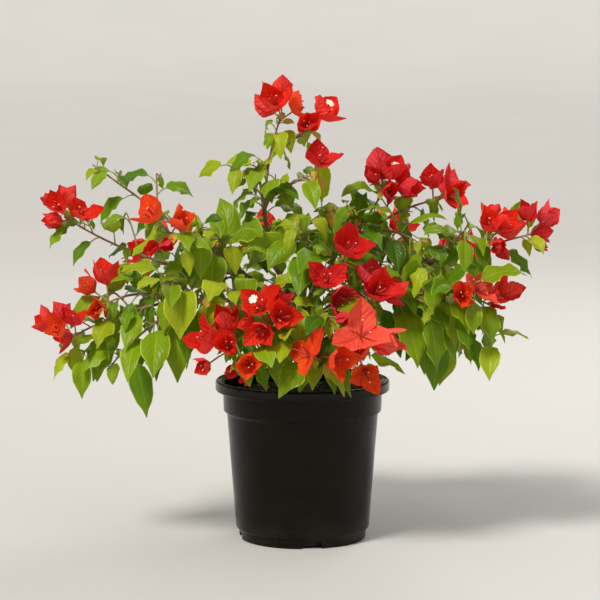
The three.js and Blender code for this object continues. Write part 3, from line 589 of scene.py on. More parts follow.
class Growth:
    """Everything that grows in the crown: stems by their bark, blades by their colour."""

    def __init__(self):
        self.standing = Standing()
        self.stems = defaultdict(list)
        self.leaves = defaultdict(list)
        self.bracts = defaultdict(list)
        self.stars = []

    def add_line(self, kind, points, radii):
        """A stem along points that tapers from the first of two radii to the last."""
        self.stems[kind].append((points, np.linspace(*radii, len(points))))

    def add_stem(self, kind, arc, radii, steps, owner=None):
        points = [arc.point(i / steps) for i in range(steps + 1)]
        self.add_line(kind, points, radii)
        if owner is not None:
            self.standing.add(*rod_places(points[:: max(steps // 4, 1)], max(radii)), owner)

    def add_thorn(self, arc, t, angle):
        root, tangent = arc.point(t), arc.tangent(t)
        out = blend((radial_at(tangent, angle), 1), (tangent, 0.35)) * THORN_LENGTH
        line = [root, root + out * 0.5, root + out + DOWN * (0.16 * THORN_LENGTH)]
        self.add_line("thorns", line, THORN_RADII)

    def add_leaf(self, limb, plan, arc, t, turn, place, younger=0.0, size=1.0):
        """A leaf at the first turn round its stem where it touches nothing."""
        for extra in LEAF_TURNS:
            draw = draw_for(limb, *place)
            root, tangent = arc.point(t), arc.tangent(t)
            radial = radial_at(tangent, turn + extra + draw() * 0.9)
            aim = blend((radial, 0.85), (tangent, 0.45), (UP, 0.15))
            facing = blend((UP, 0.5), (outward_at(root), 0.4), (LIGHT, 0.45), (radial, 0.2 + 0.9 * draw()))
            sag = chance(LEAF_SAG, draw)
            length = size * plan["leaf"] * chance(LEAF_SIZES, draw) * (1 - 0.28 * t ** 3)
            start, places = leaf_places(root, aim, sag, facing, length, draw)
            if not self.standing.is_clear(places, LEAF_GRID["faces"], limb["name"]):
                continue
            self.standing.add(places, LEAF_GRID["faces"])
            shade = plan["green"] + younger + 0.5 * (draw() - 0.5) + 0.3 * (t - 0.5)
            self.leaves[leaf_kind(shade)].append((places, draw()))
            rise = root.lerp(start, 0.55) + UP * (0.025 * length)
            self.add_line("stalks", [root, rise, start + (start - rise) * 0.15], STALK_RADII)
            return True
        return False

    def add_bloom(self, limb, index, i, arc, plan):
        """A bloom at a shoot's tip, on its pedicel, at the first turn where it touches nothing."""
        for turn in BLOOM_TURNS:
            draw = draw_for(limb, index, BLOOM, i)
            tip, tangent = arc.point(spaced(BLOOM_STEP, i)), arc.tangent(1)
            lead = blend((tangent, 0.4), (UP, 0.65), (outward_at(tip), 0.25))
            around = radial_at(lead, 2 * pi * i / max(plan["blooms"] - 1, 1) + turn)
            axis = blend((lead, 1), (around, 0.25)) if i == 0 else blend((lead, 0.7), (around, 0.75))
            centre = tip + axis * (PEDICEL_LENGTH * chance(PEDICEL_SIZES, draw))
            swing, opening = 2 * pi * draw(), chance(BLOOM_OPENING, draw) + plan["flare"]
            length = plan["spare"] * plan["bract"] * chance(BLOOM_SIZES, draw)
            stand, spread = (tip, centre, axis), (swing, opening, length)
            shape = draw_for(limb, index, BLOOM, i, SHAPE)
            if self.open_bloom(limb, plan, stand, spread, i < plan["stars"], shape):
                return

    def add_more_blooms(self, limb, index, arc, plan):
        """Smaller blooms that crowd in between the first ones of a cluster."""
        for j in range(round(plan["blooms"] * plan["more"])):
            draw = draw_for(limb, index, MORE + j)
            for k in range(MORE_TRIES):
                tip, tangent = arc.point(chance(MORE_SPAN, draw)), arc.tangent(1)
                lead = blend((tangent, 0.4), (UP, 0.6), (outward_at(tip), 0.3), (LIGHT, 0.15))
                around = radial_at(lead, 2 * pi * draw())
                axis = blend((lead, 0.4 + 0.7 * draw()), (around, 0.9))
                centre = tip + axis * (PEDICEL_LENGTH * (0.5 + 0.8 * draw() + 0.03 * k))
                opening = chance(MORE_OPENING, draw)
                length = plan["spare"] * plan["bract"] * (0.86 - 0.014 * k + 0.18 * (draw() - 0.5))
                spread = (2 * pi * draw(), opening, length)
                if self.open_bloom(limb, plan, (tip, centre, axis), spread, False, draw):
                    break

    def has_room(self, limb, bracts):
        return all(self.standing.is_clear(places, BRACT_GRID["faces"], limb["name"]) for places in bracts)

    def add_bracts(self, bracts, hue, draw):
        for places in bracts:
            self.standing.add(places, BRACT_GRID["faces"])
            self.bracts[hue].append((places, draw()))

    def open_bloom(self, limb, plan, stand, spread, star, draw):
        """Three bracts and three flower tubes round an axis, if the bracts touch nothing."""
        tip, centre, axis = stand
        swing, opening, length = spread
        angles = [swing + 2 * pi * k / 3 + 0.4 * (draw() - 0.5) for k in range(3)]
        bracts = [bract_places(centre, axis, a, opening, length, draw) for a in angles]
        if not self.has_room(limb, bracts):
            return False
        self.add_bracts(bracts, near_hue(plan["hue"], draw()), draw)
        self.add_line("pedicels", [tip, tip.lerp(centre, 0.5) + UP * 0.6, centre], PEDICEL_RADII)
        self.add_tubes(centre, axis, angles, opening, length, star, draw)
        return True

    def add_tubes(self, centre, axis, angles, opening, length, star, draw):
        """The three slim flower tubes of a bloom, and the star that one of them may open."""
        for k, angle in enumerate(angles):
            radial = radial_at(axis, angle)
            lean = opening * chance(TUBE_LEAN, draw)
            aim = blend((axis, cos(lean)), (radial, sin(lean)))
            reach = TUBE_SHARE * length * chance(TUBE_SIZES, draw)
            foot = centre + radial * 0.8
            middle = foot + aim * (0.5 * reach)
            onward = blend((aim, 1), (axis, 0.3))
            top = middle + onward * (0.5 * reach)
            line = [foot, foot.lerp(middle, 0.5), middle, middle.lerp(top, 0.7), top]
            self.stems["tubes"].append((line, TUBE_RADII))
            if draw() < OPEN_MOUTHS or star:
                mouth = [top - onward * 0.3, top + onward * 0.4, top + onward * 0.8]
                self.stems["mouths"].append((mouth, MOUTH_RADII))
            if star and k == 0:
                self.stars.append((top + onward * 0.8, blend((aim, 1), (LIGHT, 0.6))))

    def add_bud(self, limb, arc, draw):
        """An unopened bloom: three narrow bracts closed round each other, if they touch nothing."""
        around = radial_at(arc.tangent(1), 2 * pi * draw())
        aim = blend((arc.tangent(1), 0.5), (around, 0.9), (UP, 0.3))
        base = arc.point(BUD_PLACE) + aim * chance(BUD_REACH, draw)
        length = chance(BUD_LENGTH, draw)
        bracts = [bract_places(base, aim, 2 * pi * (k / 3 + draw()), BUD_OPENING, length, draw)
                  for k in range(3)]
        if not self.has_room(limb, bracts):
            return False
        self.add_bracts(bracts, BUD_HUE, draw)
        self.add_line("pedicels", [base - aim * (0.5 * length), base], BUD_STALK_RADII)
        return True

    def grow_blooms(self, limb):
        """The blooms of one mass, each shoot's own and then those that crowd round them."""
        for index, arc, plan in shoots_of(limb):
            for i in range(plan["blooms"]):
                self.add_bloom(limb, index, i, arc, plan)
            self.add_more_blooms(limb, index, arc, plan)

    def grow_leaves(self, limb):
        """The twigs and leaves of one mass."""
        for index, arc, plan in shoots_of(limb):
            for i in range(plan["twigs"]):
                twig = twig_arc(arc, plan, i, draw_for(limb, index, TWIG, i))
                self.add_stem("twigs", twig, TWIG_RADII, 6, limb["name"])
                for k in range(TWIG_LEAVES):
                    place = (index, TWIG_LEAF + i, k)
                    t = spaced(TWIG_LEAF_STEP, k)
                    self.add_leaf(limb, plan, twig, t, k * GOLDEN_ANGLE, place)
            for k in range(plan["leaves"]):
                t = spaced(LEAF_SPAN, (k + 0.25) / plan["leaves"])
                self.add_leaf(limb, plan, arc, t, k * GOLDEN_ANGLE, (index, LEAF, k))

    def grow_finer(self, limb):
        """The finer growth of a mass: thorns, short twigs with small leaves, young tips and buds."""
        for index, arc, plan in shoots_of(limb):
            for k in range(0, plan["leaves"], 2):
                self.add_thorn(arc, spaced(LEAF_SPAN, (k + 0.4) / plan["leaves"]), k * GOLDEN_ANGLE + 2)
            sprigs = max(2, round(arc.length / SPRIG_PITCH)) + plan["sprigs"]
            for j in range(sprigs):
                self.add_sprig(limb, index, arc, plan, j, sprigs)
            for k in range(TIP_LEAVES):
                size = plan["tips"] or (0.4 if plan["blooms"] else 0.34 + 0.08 * k)
                t, turn = spaced(TIP_LEAF_STEP, k), k * GOLDEN_ANGLE + 0.6
                self.add_leaf(limb, plan, arc, t, turn, (index, TIP_LEAF, k), 0.35, size)
            for k in range(plan["buds"]):
                draw = draw_for(limb, index, BUD, k)
                any(self.add_bud(limb, arc, draw) for _ in range(MORE_TRIES))

    def add_sprig(self, limb, index, arc, plan, j, sprigs):
        """A fine twig with small leaves, left out where none of them finds room."""
        draw = draw_for(limb, index, SPRIG, j)
        t = spaced(SPRIG_SPAN, (j + draw()) / sprigs)
        radial = radial_at(arc.tangent(t), j * GOLDEN_ANGLE + 1.7)
        length = chance(SPRIG_LENGTH, draw)
        tip = arc.point(t) + blend((arc.tangent(t), 0.6), (radial, 0.8), (UP, 0.3)) * length
        sprig = Arc(arc.point(t), tip, 0.06 * length)
        borne = 0
        for k in range(SPRIG_LEAVES):
            size = chance(SPRIG_SIZES, draw)
            at, turn = spaced(SPRIG_LEAF_STEP, k), k * GOLDEN_ANGLE + j
            borne += self.add_leaf(limb, plan, sprig, at, turn, (index, SPRIG_LEAF, j, k), 0.05, size)
        if borne:
            self.add_stem("twigs", sprig, SPRIG_RADII, 4)


@lru_cache(maxsize=None)
def grown_crown():
    """The whole crown, grown once: stems first, then blooms, leaves and the finer growth."""
    growth = Growth()
    for limb in CROWN:
        arc = bough_arc(limb)
        points = [arc.point(i / 6) for i in range(7)]
        growth.standing.add(*rod_places(points, limb["radius"]), "boughs")
    for limb in CROWN:
        start, end = stub_ends(limb)
        tip_radius = BOUGH_TIP_SHARE * limb["radius"]
        growth.add_line("shoots", [start - (end - start) * 0.12, end], (tip_radius, tip_radius))
        for _, arc, _ in shoots_of(limb):
            growth.add_stem("shoots", arc, SHOOT_RADII, 16, limb["name"])
    for grow in (growth.grow_blooms, growth.grow_leaves, growth.grow_finer):
        for limb in CROWN:
            grow(limb)
    return growth


# ---------------------------------------------------------------- meshes


def placed(name, data):
    """A new object in the scene."""
    made = bpy.data.objects.new(name, data)
    bpy.context.scene.collection.objects.link(made)
    return made


def smoothed(mesh):
    mesh.polygons.foreach_set("use_smooth", [True] * len(mesh.polygons))
    return mesh


def mesh_from(name, shell):
    mesh = bpy.data.meshes.new(name)
    shell.to_mesh(mesh)
    shell.free()
    return mesh


def piece_from_mesh(name, mesh, material, slot, *replaced):
    """Puts a mesh in the scene as a finished piece that rides on the plant."""
    mesh.name = name
    piece = placed(name, mesh)
    mesh.materials.clear()
    mesh.materials.append(material)
    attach(piece, BODY)
    if replaced:
        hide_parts(*replaced)
    return piece


def joined_blades(name, blades, grid):
    """Many blades as one mesh, each with the grid's faces, its UVs and a tone of its own."""
    corners = len(grid["side"])
    places = np.concatenate([places for places, _ in blades]) * MM
    faces = np.concatenate([grid["faces"] + corners * i for i in range(len(blades))])
    mesh = bpy.data.meshes.new(name)
    mesh.from_pydata(places.tolist(), [], faces.tolist())
    spread = mesh.uv_layers.new(name="UVMap")
    on_loops = np.concatenate([grid["uv"][face] for face in grid["faces"]])
    spread.data.foreach_set("uv", np.tile(on_loops, (len(blades), 1)).astype(np.float32).ravel())
    tone = mesh.attributes.new("tone", "FLOAT", "POINT")
    tone.data.foreach_set("value", np.repeat([t for _, t in blades], corners).astype(np.float32))
    mesh.update()
    return smoothed(mesh)


def joined_stems(name, stems, resolution):
    """Many tapering stems as one mesh, from one curve with a round bevel."""
    curve = bpy.data.curves.new(name, "CURVE")
    curve.dimensions = "3D"
    curve.bevel_depth = 1
    curve.bevel_resolution = resolution
    curve.use_fill_caps = True
    for points, radii in stems:
        spline = curve.splines.new("POLY")
        spline.points.add(len(points) - 1)
        for place, point, radius in zip(spline.points, points, radii):
            place.co = (*(point * MM), 1)
            place.radius = radius * MM
        spline.use_smooth = True
    holder = bpy.data.objects.new(name + "_curve", curve)
    mesh = bpy.data.meshes.new_from_object(holder)
    bpy.data.objects.remove(holder)
    bpy.data.curves.remove(curve)
    return smoothed(mesh)


def spun(profile, steps, name):
    """A closed round shell from a profile of (radius, height) in millimetres."""
    shell = bmesh.new()
    verts = [shell.verts.new((r * MM, 0, z * MM)) for r, z in profile]
    edges = [shell.edges.new(pair) for pair in zip(verts, verts[1:])]
    bmesh.ops.spin(shell, geom=verts + edges, cent=(0, 0, 0), axis=(0, 0, 1), angle=2 * pi,
                   steps=steps, use_merge=True)
    bmesh.ops.remove_doubles(shell, verts=shell.verts, dist=1e-6)
    bmesh.ops.recalc_face_normals(shell, faces=shell.faces)
    return smoothed(mesh_from(name, shell))


def applied(mesh, name, *modifiers):
    """The mesh with modifiers applied: each is a kind and its settings."""
    holder = placed(name, mesh)
    for kind, settings in modifiers:
        modifier = holder.modifiers.new(kind.title(), kind)
        for key, value in settings.items():
            setattr(modifier, key, value)
    graph = bpy.context.evaluated_depsgraph_get()
    done = bpy.data.meshes.new_from_object(holder.evaluated_get(graph))
    bpy.data.objects.remove(holder)
    return smoothed(done)


def arc_points(radius_at, height_at, radius, first, last, steps):
    """Profile points on an arc, its angles in degrees from +radius towards +height."""
    angles = np.radians(np.linspace(first, last, steps + 1))
    return [(radius_at + radius * cos(a), height_at + radius * sin(a)) for a in angles]


# ---------------------------------------------------------------- shader wiring


class Wiring:
    """A node tree while it is being wired. Kinds of node are told without their "ShaderNode"."""

    def __init__(self, tree):
        self.tree = tree
        tree.nodes.clear()

    def node(self, kind, inputs=None, **settings):
        made = self.tree.nodes.new(kind if kind.startswith("Node") else "ShaderNode" + kind)
        for key, value in settings.items():
            setattr(made, key, value)
        for key, value in (inputs or {}).items():
            if isinstance(value, bpy.types.NodeSocket):
                self.tree.links.new(value, made.inputs[key])
            else:
                made.inputs[key].default_value = value
        return made.outputs

    def maths(self, operation, a, b=0.0):
        return self.node("Math", {0: a, 1: b}, operation=operation)[0]

    def plus(self, a, b):
        return self.maths("ADD", a, b)

    def minus(self, a, b):
        return self.maths("SUBTRACT", a, b)

    def times(self, a, b):
        return self.maths("MULTIPLY", a, b)

    def scaled(self, vector, by):
        return self.node("VectorMath", {0: vector, 1: by}, operation="MULTIPLY")[0]

    def ranged(self, value, low, high, to_low=0.0, to_high=1.0):
        """A value eased from one range into another."""
        inputs = {0: value, 1: low, 2: high, 3: to_low, 4: to_high}
        return self.node("MapRange", inputs, interpolation_type="SMOOTHSTEP")[0]

    def mixed(self, factor, a, b):
        """Two colours mixed."""
        return self.node("Mix", {0: factor, 6: a, 7: b}, data_type="RGBA")[2]

    def overlaid(self, colour, other, mask, share):
        """A colour with a share of another where the mask is."""
        return self.mixed(self.times(mask, share), colour, other)

    def texture_noise(self, vector, scale, detail=3.0, roughness=0.5):
        inputs = {"Vector": vector, "Scale": scale, "Detail": detail, "Roughness": roughness}
        return self.node("TexNoise", inputs)["Fac"]

    def mottle(self, blotch, grain, stretch=1.0):
        """Blotches and grain at their scales, stretched along the height."""
        inputs = {"Blotch Scale": blotch, "Grain Scale": grain, "Stretch": stretch}
        return self.node("Group", inputs, node_tree=mottle_group())

    def bump(self, height, strength, distance):
        return self.node("Bump", {"Height": height, "Strength": strength, "Distance": distance})["Normal"]

    def shader(self, **inputs):
        named = {key.replace("_", " "): value for key, value in inputs.items()}
        return self.node("BsdfPrincipled", named)[0]

    def finish(self, shader):
        self.node("OutputMaterial", {"Surface": shader})


def rgba(red, green, blue):
    return (red, green, blue, 1)


def new_material(name):
    material = bpy.data.materials.new(name)
    material.use_nodes = True
    return material, Wiring(material.node_tree)


def new_group(name, defaults, outputs):
    """A group of nodes to wire, and the outputs of its input node."""
    tree = bpy.data.node_groups.new(name, "ShaderNodeTree")
    for label, value in defaults.items():
        socket = tree.interface.new_socket(label, in_out="INPUT", socket_type="NodeSocketFloat")
        socket.default_value = value
    for label in outputs:
        tree.interface.new_socket(label, in_out="OUTPUT", socket_type="NodeSocketFloat")
    wiring = Wiring(tree)
    return tree, wiring, wiring.node("NodeGroupInput")


@lru_cache(maxsize=None)
def mottle_group():
    """Blotches and fine grain on the object's own coordinates, from 0 to 1."""
    defaults = {"Blotch Scale": 30.0, "Grain Scale": 600.0, "Stretch": 1.0}
    tree, wiring, given = new_group("mottle", defaults, ("Blotch", "Grain"))
    tall = wiring.node("CombineXYZ", {0: 1.0, 1: 1.0, 2: given["Stretch"]})[0]
    stretched = wiring.scaled(wiring.node("TexCoord")["Object"], tall)
    blotch = wiring.ranged(wiring.texture_noise(stretched, given["Blotch Scale"]), 0.3, 0.7)
    grain = wiring.ranged(wiring.texture_noise(stretched, given["Grain Scale"], 4.0, 0.6), 0.25, 0.75)
    wiring.node("NodeGroupOutput", {"Blotch": blotch, "Grain": grain})
    return tree


@lru_cache(maxsize=None)
def veins_group():
    """The veins, margin and pillowed relief of a blade, from its UV: across in U, along in V."""
    outputs = ("Midrib", "Side Veins", "Margin", "Net", "Relief")
    tree, wiring, given = new_group("veins", {"Pairs": 7.0, "Slope": 2.6, "Width": 0.1}, outputs)
    spread = wiring.node("TexCoord")["UV"]
    across, along, _ = wiring.node("SeparateXYZ", {0: spread})
    side = wiring.times(wiring.maths("ABSOLUTE", wiring.minus(across, 0.5)), 2.0)
    midrib = wiring.ranged(side, 0.015, 0.075, 1.0, 0.0)
    climb = wiring.times(along, given["Pairs"])
    curve = wiring.times(wiring.maths("POWER", side, 1.25), given["Slope"])
    fine = wiring.times(wiring.texture_noise(spread, 9.0, 2.0), 0.35)
    away = wiring.maths("PINGPONG", wiring.plus(wiring.minus(climb, curve), fine), 0.5)
    thin = wiring.ranged(side, 0.55, 0.98, 1.0, 0.15)
    veins = wiring.times(wiring.ranged(away, 0.0, given["Width"], 1.0, 0.0), thin)
    margin = wiring.ranged(side, 0.88, 0.97)
    relief = wiring.times(wiring.ranged(away, 0.0, 0.4), wiring.ranged(side, 0.0, 0.2))
    cells = wiring.node("TexVoronoi", {"Vector": spread, "Scale": 7.0}, feature="DISTANCE_TO_EDGE")
    net = wiring.ranged(cells["Distance"], 0.0, 0.09, 1.0, 0.0)
    wiring.node("NodeGroupOutput", dict(zip(outputs, (midrib, veins, margin, net, relief))))
    return tree


def new_blade(name, dark, light, veins, mottle, own):
    """A blade's material begun: its wiring, its veins, its grain, and a colour by its own tone."""
    material, wiring = new_material(name)
    inputs = dict(zip(("Pairs", "Slope", "Width"), veins))
    traced = wiring.node("Group", inputs, node_tree=veins_group())
    mottled = wiring.mottle(*mottle)
    tone = wiring.times(wiring.node("Attribute", attribute_name="tone")["Fac"], own)
    uneven = wiring.plus(tone, wiring.times(mottled["Blotch"], 1 - own))
    return material, wiring, traced, mottled["Grain"], wiring.mixed(uneven, dark, light)


def finish_blade(wiring, shader, glow, share):
    """Ends a blade's material, with a share of the light that comes through from behind."""
    through = wiring.node("BsdfTranslucent", {"Color": glow})[0]
    wiring.finish(wiring.node("MixShader", {0: share, 1: shader, 2: through})[0])


def leaf_material(name, dark, light, vein, edge, glow):
    """A semi-gloss leaf: paler midrib, veins and margin, and a paler underside."""
    material, wiring, veins, grain, colour = new_blade(
        name, dark, light, veins=(7.0, 2.8, 0.11), mottle=(60.0, 420.0), own=0.7)
    colour = wiring.overlaid(colour, vein, veins["Side Veins"], 0.2)
    colour = wiring.overlaid(colour, vein, veins["Midrib"], 0.55)
    colour = wiring.overlaid(colour, edge, veins["Margin"], 0.8)
    behind = wiring.node("NewGeometry")["Backfacing"]
    colour = wiring.overlaid(colour, wiring.mixed(0.55, colour, edge), behind, 0.6)
    normal = wiring.bump(wiring.minus(veins["Relief"], wiring.times(veins["Midrib"], 0.8)), 0.3, 0.0006)
    gloss = wiring.ranged(grain, 0.0, 1.0, 0.28, 0.4)
    blade = wiring.shader(Base_Color=colour, Roughness=gloss, Normal=normal, Specular_IOR_Level=0.18)
    finish_blade(wiring, blade, glow, 0.2)
    return material


def bract_material(name, dark, light, vein, outside, glow):
    """A papery bract: a darker net of veins, puckers, a rosier outside, and light that comes through."""
    material, wiring, veins, grain, colour = new_blade(
        name, dark, light, veins=(6.0, 2.0, 0.09), mottle=(70.0, 500.0), own=0.6)
    colour = wiring.overlaid(colour, outside, wiring.node("NewGeometry")["Backfacing"], 0.75)
    colour = wiring.overlaid(colour, vein, veins["Net"], 0.16)
    colour = wiring.overlaid(colour, vein, veins["Side Veins"], 0.12)
    colour = wiring.overlaid(colour, vein, veins["Midrib"], 0.5)
    puckers = wiring.minus(veins["Relief"], wiring.times(veins["Net"], 0.4))
    normal = wiring.bump(wiring.minus(puckers, veins["Midrib"]), 0.6, 0.001)
    matt = wiring.ranged(grain, 0.0, 1.0, 0.5, 0.66)
    blade = wiring.shader(Base_Color=colour, Roughness=matt, Normal=normal, Specular_IOR_Level=0.12)
    finish_blade(wiring, blade, glow, 0.3)
    return material


def bark_material(name, dark, light, blotch_scale, relief):
    """Bark or a green stem: blotches, fine furrows along the height and a dry surface."""
    material, wiring = new_material(name)
    mottle = wiring.mottle(blotch_scale, 900.0, 0.35)
    mask = wiring.plus(wiring.times(mottle["Blotch"], 0.6), wiring.times(mottle["Grain"], 0.4))
    colour = wiring.mixed(mask, dark, light)
    normal = wiring.bump(mottle["Grain"], 0.6, relief)
    rough = wiring.ranged(mottle["Blotch"], 0.0, 1.0, 0.62, 0.85)
    wiring.finish(wiring.shader(Base_Color=colour, Roughness=rough, Normal=normal))
    return material


def plastic_material(name, body, scuff):
    """Moulded black plastic: satin, with faint turning lines, dust low down and a glossier lip."""
    material, wiring = new_material(name)
    mottle = wiring.mottle(22.0, 260.0, 2.2)
    place = wiring.node("TexCoord")["Object"]
    turned = wiring.texture_noise(wiring.scaled(place, (3.0, 3.0, 700.0)), 1.0, 2.0)
    height = wiring.node("SeparateXYZ", {0: place})[2]
    low = wiring.ranged(height, 0.0, 0.04, 0.16, 0.0)
    colour = wiring.mixed(wiring.times(wiring.plus(low, 0.03), mottle["Blotch"]), body, scuff)
    fleck = wiring.plus(wiring.times(turned, 0.5), wiring.times(mottle["Grain"], 0.5))
    normal = wiring.bump(fleck, 0.12, 0.0004)
    rough = wiring.ranged(mottle["Blotch"], 0.0, 1.0, 0.2, 0.3)
    polish = wiring.ranged(height, 0.146, 0.154, 0.1, 0.3)
    # The warm Specular_Tint colours every reflection on the plastic brown: a painted warm reflection that
    # stands in for warm surroundings, not a colour of the plastic itself.
    wiring.finish(wiring.shader(
        Base_Color=colour, Roughness=rough, Normal=normal, Specular_IOR_Level=0.1,
        Specular_Tint=rgba(1.0, 0.86, 0.68), Coat_Weight=polish, Coat_Roughness=0.07))
    return material


def mix_material(name, dark, light):
    """Damp potting mix or a bark chip."""
    material, wiring = new_material(name)
    mottle = wiring.mottle(130.0, 1100.0)
    colour = wiring.mixed(wiring.times(mottle["Blotch"], mottle["Grain"]), dark, light)
    normal = wiring.bump(mottle["Grain"], 0.9, 0.0012)
    wiring.finish(wiring.shader(Base_Color=colour, Roughness=0.9, Normal=normal))
    return material


def star_material(name, petal, eye):
    """A small flower: pale petals round a yellow eye, from its UV."""
    material, wiring = new_material(name)
    along = wiring.node("SeparateXYZ", {0: wiring.node("TexCoord")["UV"]})[1]
    colour = wiring.mixed(wiring.ranged(along, 0.12, 0.34), eye, petal)
    wiring.finish(wiring.shader(Base_Color=colour, Roughness=0.6))
    return material


def stage_material(name, pale, paler):
    """The floor: matt, with a faint unevenness."""
    material, wiring = new_material(name)
    colour = wiring.mixed(wiring.mottle(1.2, 60.0)["Blotch"], pale, paler)
    wiring.finish(wiring.shader(Base_Color=colour, Roughness=0.8))
    return material


# ---------------------------------------------------------------- settings


class PotSettings(bpy.types.PropertyGroup):
    lip: FloatProperty(name="Lip", description="Height of the rolled rim", default=0.0105, unit="LENGTH")
    wall: FloatProperty(name="Wall", description="Thickness of the wall", default=0.002, unit="LENGTH")
    notches: IntProperty(name="Notches", description="Drain notches round the foot", default=4)
    colour: FloatVectorProperty(name="Plastic", description="Colour of the plastic", subtype="COLOR",
                                size=4, default=rgba(0.0022, 0.0017, 0.0012))
    scuff: FloatVectorProperty(name="Scuffs", description="Colour of scuffs and dust", subtype="COLOR",
                               size=4, default=rgba(0.06, 0.05, 0.042))


class PlantSettings(bpy.types.PropertyGroup):
    bark_dark: FloatVectorProperty(name="Dark bark", description="Colour in the furrows", subtype="COLOR",
                                   size=4, default=rgba(0.075, 0.045, 0.028))
    bark_light: FloatVectorProperty(name="Light bark", description="Colour on the ridges", subtype="COLOR",
                                    size=4, default=rgba(0.34, 0.23, 0.145))
    chips: IntProperty(name="Bark chips", description="Chips that lie on the potting mix", default=420)
    relief: FloatProperty(name="Bark relief", description="Depth of the bark's furrows", default=0.0005,
                          unit="LENGTH")


class StageSettings(bpy.types.PropertyGroup):
    distance: FloatProperty(name="Camera distance", description="From the pot's axis", default=2.29,
                            unit="LENGTH")
    height: FloatProperty(name="Camera height", description="Over the floor", default=0.507, unit="LENGTH")
    pitch: FloatProperty(name="Camera pitch", description="Below the horizon", default=radians(6.81),
                         unit="ROTATION")
    flat: FloatProperty(name="Floor", description="Radius of the flat floor", default=13, unit="LENGTH")
    turn: FloatProperty(name="Turn", description="Radius of the floor's upturned edge", default=12,
                        unit="LENGTH")
    lens: FloatProperty(name="Lens", description="Focal length on a 36 mm sensor, in millimetres",
                        default=142.2)


# ---------------------------------------------------------------- pot and potting mix


def pot_profile(lip, wall):
    """The pot's wall as a closed line of (radius, height) in millimetres, from the axis to the axis."""
    top, rim, lip, wall = POT_TOP / MM, POT_RADIUS / MM, lip / MM, wall / MM
    band, body_top, body_foot, foot = 77.6, 73.8, 65.4, 62
    body_low, body_high = 12, 122.4
    rise = [k / 8 for k in range(1, 9)]
    return [
        (0, 0), (foot - 9, 0), (foot - 7.5, 0.1), (foot - 6, 0), (foot - 0.8, 0), (foot - 0.2, 0.4),
        (foot, 1.2), (foot + 0.5, 8.6), (foot + 0.9, 9.6),
        (body_foot - 0.6, 10.4), (body_foot - 0.1, 11), (body_foot, body_low),
        *[(body_foot + (body_top - body_foot) * t, body_low + (body_high - body_low) * t) for t in rise],
        (body_top + 0.3, 123.6), (body_top + 1.2, 124.4), (band - 1.5, 125.2), (band - 0.7, 125.9),
        (band - 0.5, 127), (band, 142.4), (band + 0.3, top - lip - 0.6),
        (band + 1, top - lip), (rim - 2, top - lip),
        *arc_points(rim - 2, top - lip + 2, 2, -80, 0, 5),
        *arc_points(rim - 2.2, top - 2.2, 2.2, 5, 90, 7),
        (rim - 2.8, top - 0.3), (rim - 3.4, top - 0.9), (rim - 4.4, top - 1), (rim - 5, top - 0.7),
        (rim - 5.4, top - 0.6), (rim - 5.9, top - 0.8), (rim - 6.3, top - 1.4), (band - 1.4, top - 3.4),
        (band - wall, top - lip + 3), (band - wall - 0.6, 127), (body_top - wall, 123.5),
        (body_foot - wall, 11.5), (foot - wall, 4), (foot - wall - 2, 2.2), (0, 2.2),
    ]


def notch_cutter(count):
    """Blocks with rounded corners that cut the drain notches out of the foot."""
    cutter = bmesh.new()
    for i in range(count):
        block = bmesh.ops.create_cube(cutter, size=1)["verts"]
        bmesh.ops.scale(cutter, vec=Vector(NOTCH_SIZE) * MM, verts=block)
        edges = list({e for v in block for e in v.link_edges})
        upright = [e for e in edges if abs(e.verts[0].co.y - e.verts[1].co.y) > 0.01]
        made = bmesh.ops.bevel(cutter, geom=upright, offset=NOTCH_ROUND * MM, segments=4, profile=0.5,
                               affect="EDGES", material=-1)
        whole = list({v for f in made["faces"] for v in f.verts} | {v for v in block if v.is_valid})
        turn = Matrix.Rotation(radians(NOTCH_TURN + 360 * i / count), 4, "Z")
        out = Matrix.Translation((0, -NOTCH_REACH * MM, 0))
        bmesh.ops.transform(cutter, matrix=turn @ out, verts=whole)
    return mesh_from("notches", cutter)


class OBJECT_OT_make_pot(bpy.types.Operator):
    """Spins the nursery pot, cuts its drain notches and gives it satin black plastic"""

    bl_idname = "plant.make_pot"
    bl_label = "Make the pot"

    def execute(self, context):
        settings = context.scene.pot_settings
        shell = spun(pot_profile(settings.lip, settings.wall), POT_STEPS, "pot_shell")
        cutter = placed("notch_cutter", notch_cutter(settings.notches))
        cutting = {"operation": "DIFFERENCE", "object": cutter, "solver": "EXACT"}
        cut = applied(shell, "pot_cut", ("BOOLEAN", cutting))
        bpy.data.objects.remove(cutter)
        if len(cut.polygons) < POT_FACES:
            raise RuntimeError("the notches were not cut")
        cut.set_sharp_from_angle(angle=radians(40))
        material = plastic_material("black_plastic", tuple(settings.colour), tuple(settings.scuff))
        piece_from_mesh("nursery_pot", cut, material, "plastic", "pot")
        return {"FINISHED"}


def lumpy(point, scale, depth):
    return depth * noise.fractal(point * scale, 0.7, 2.2, 5)


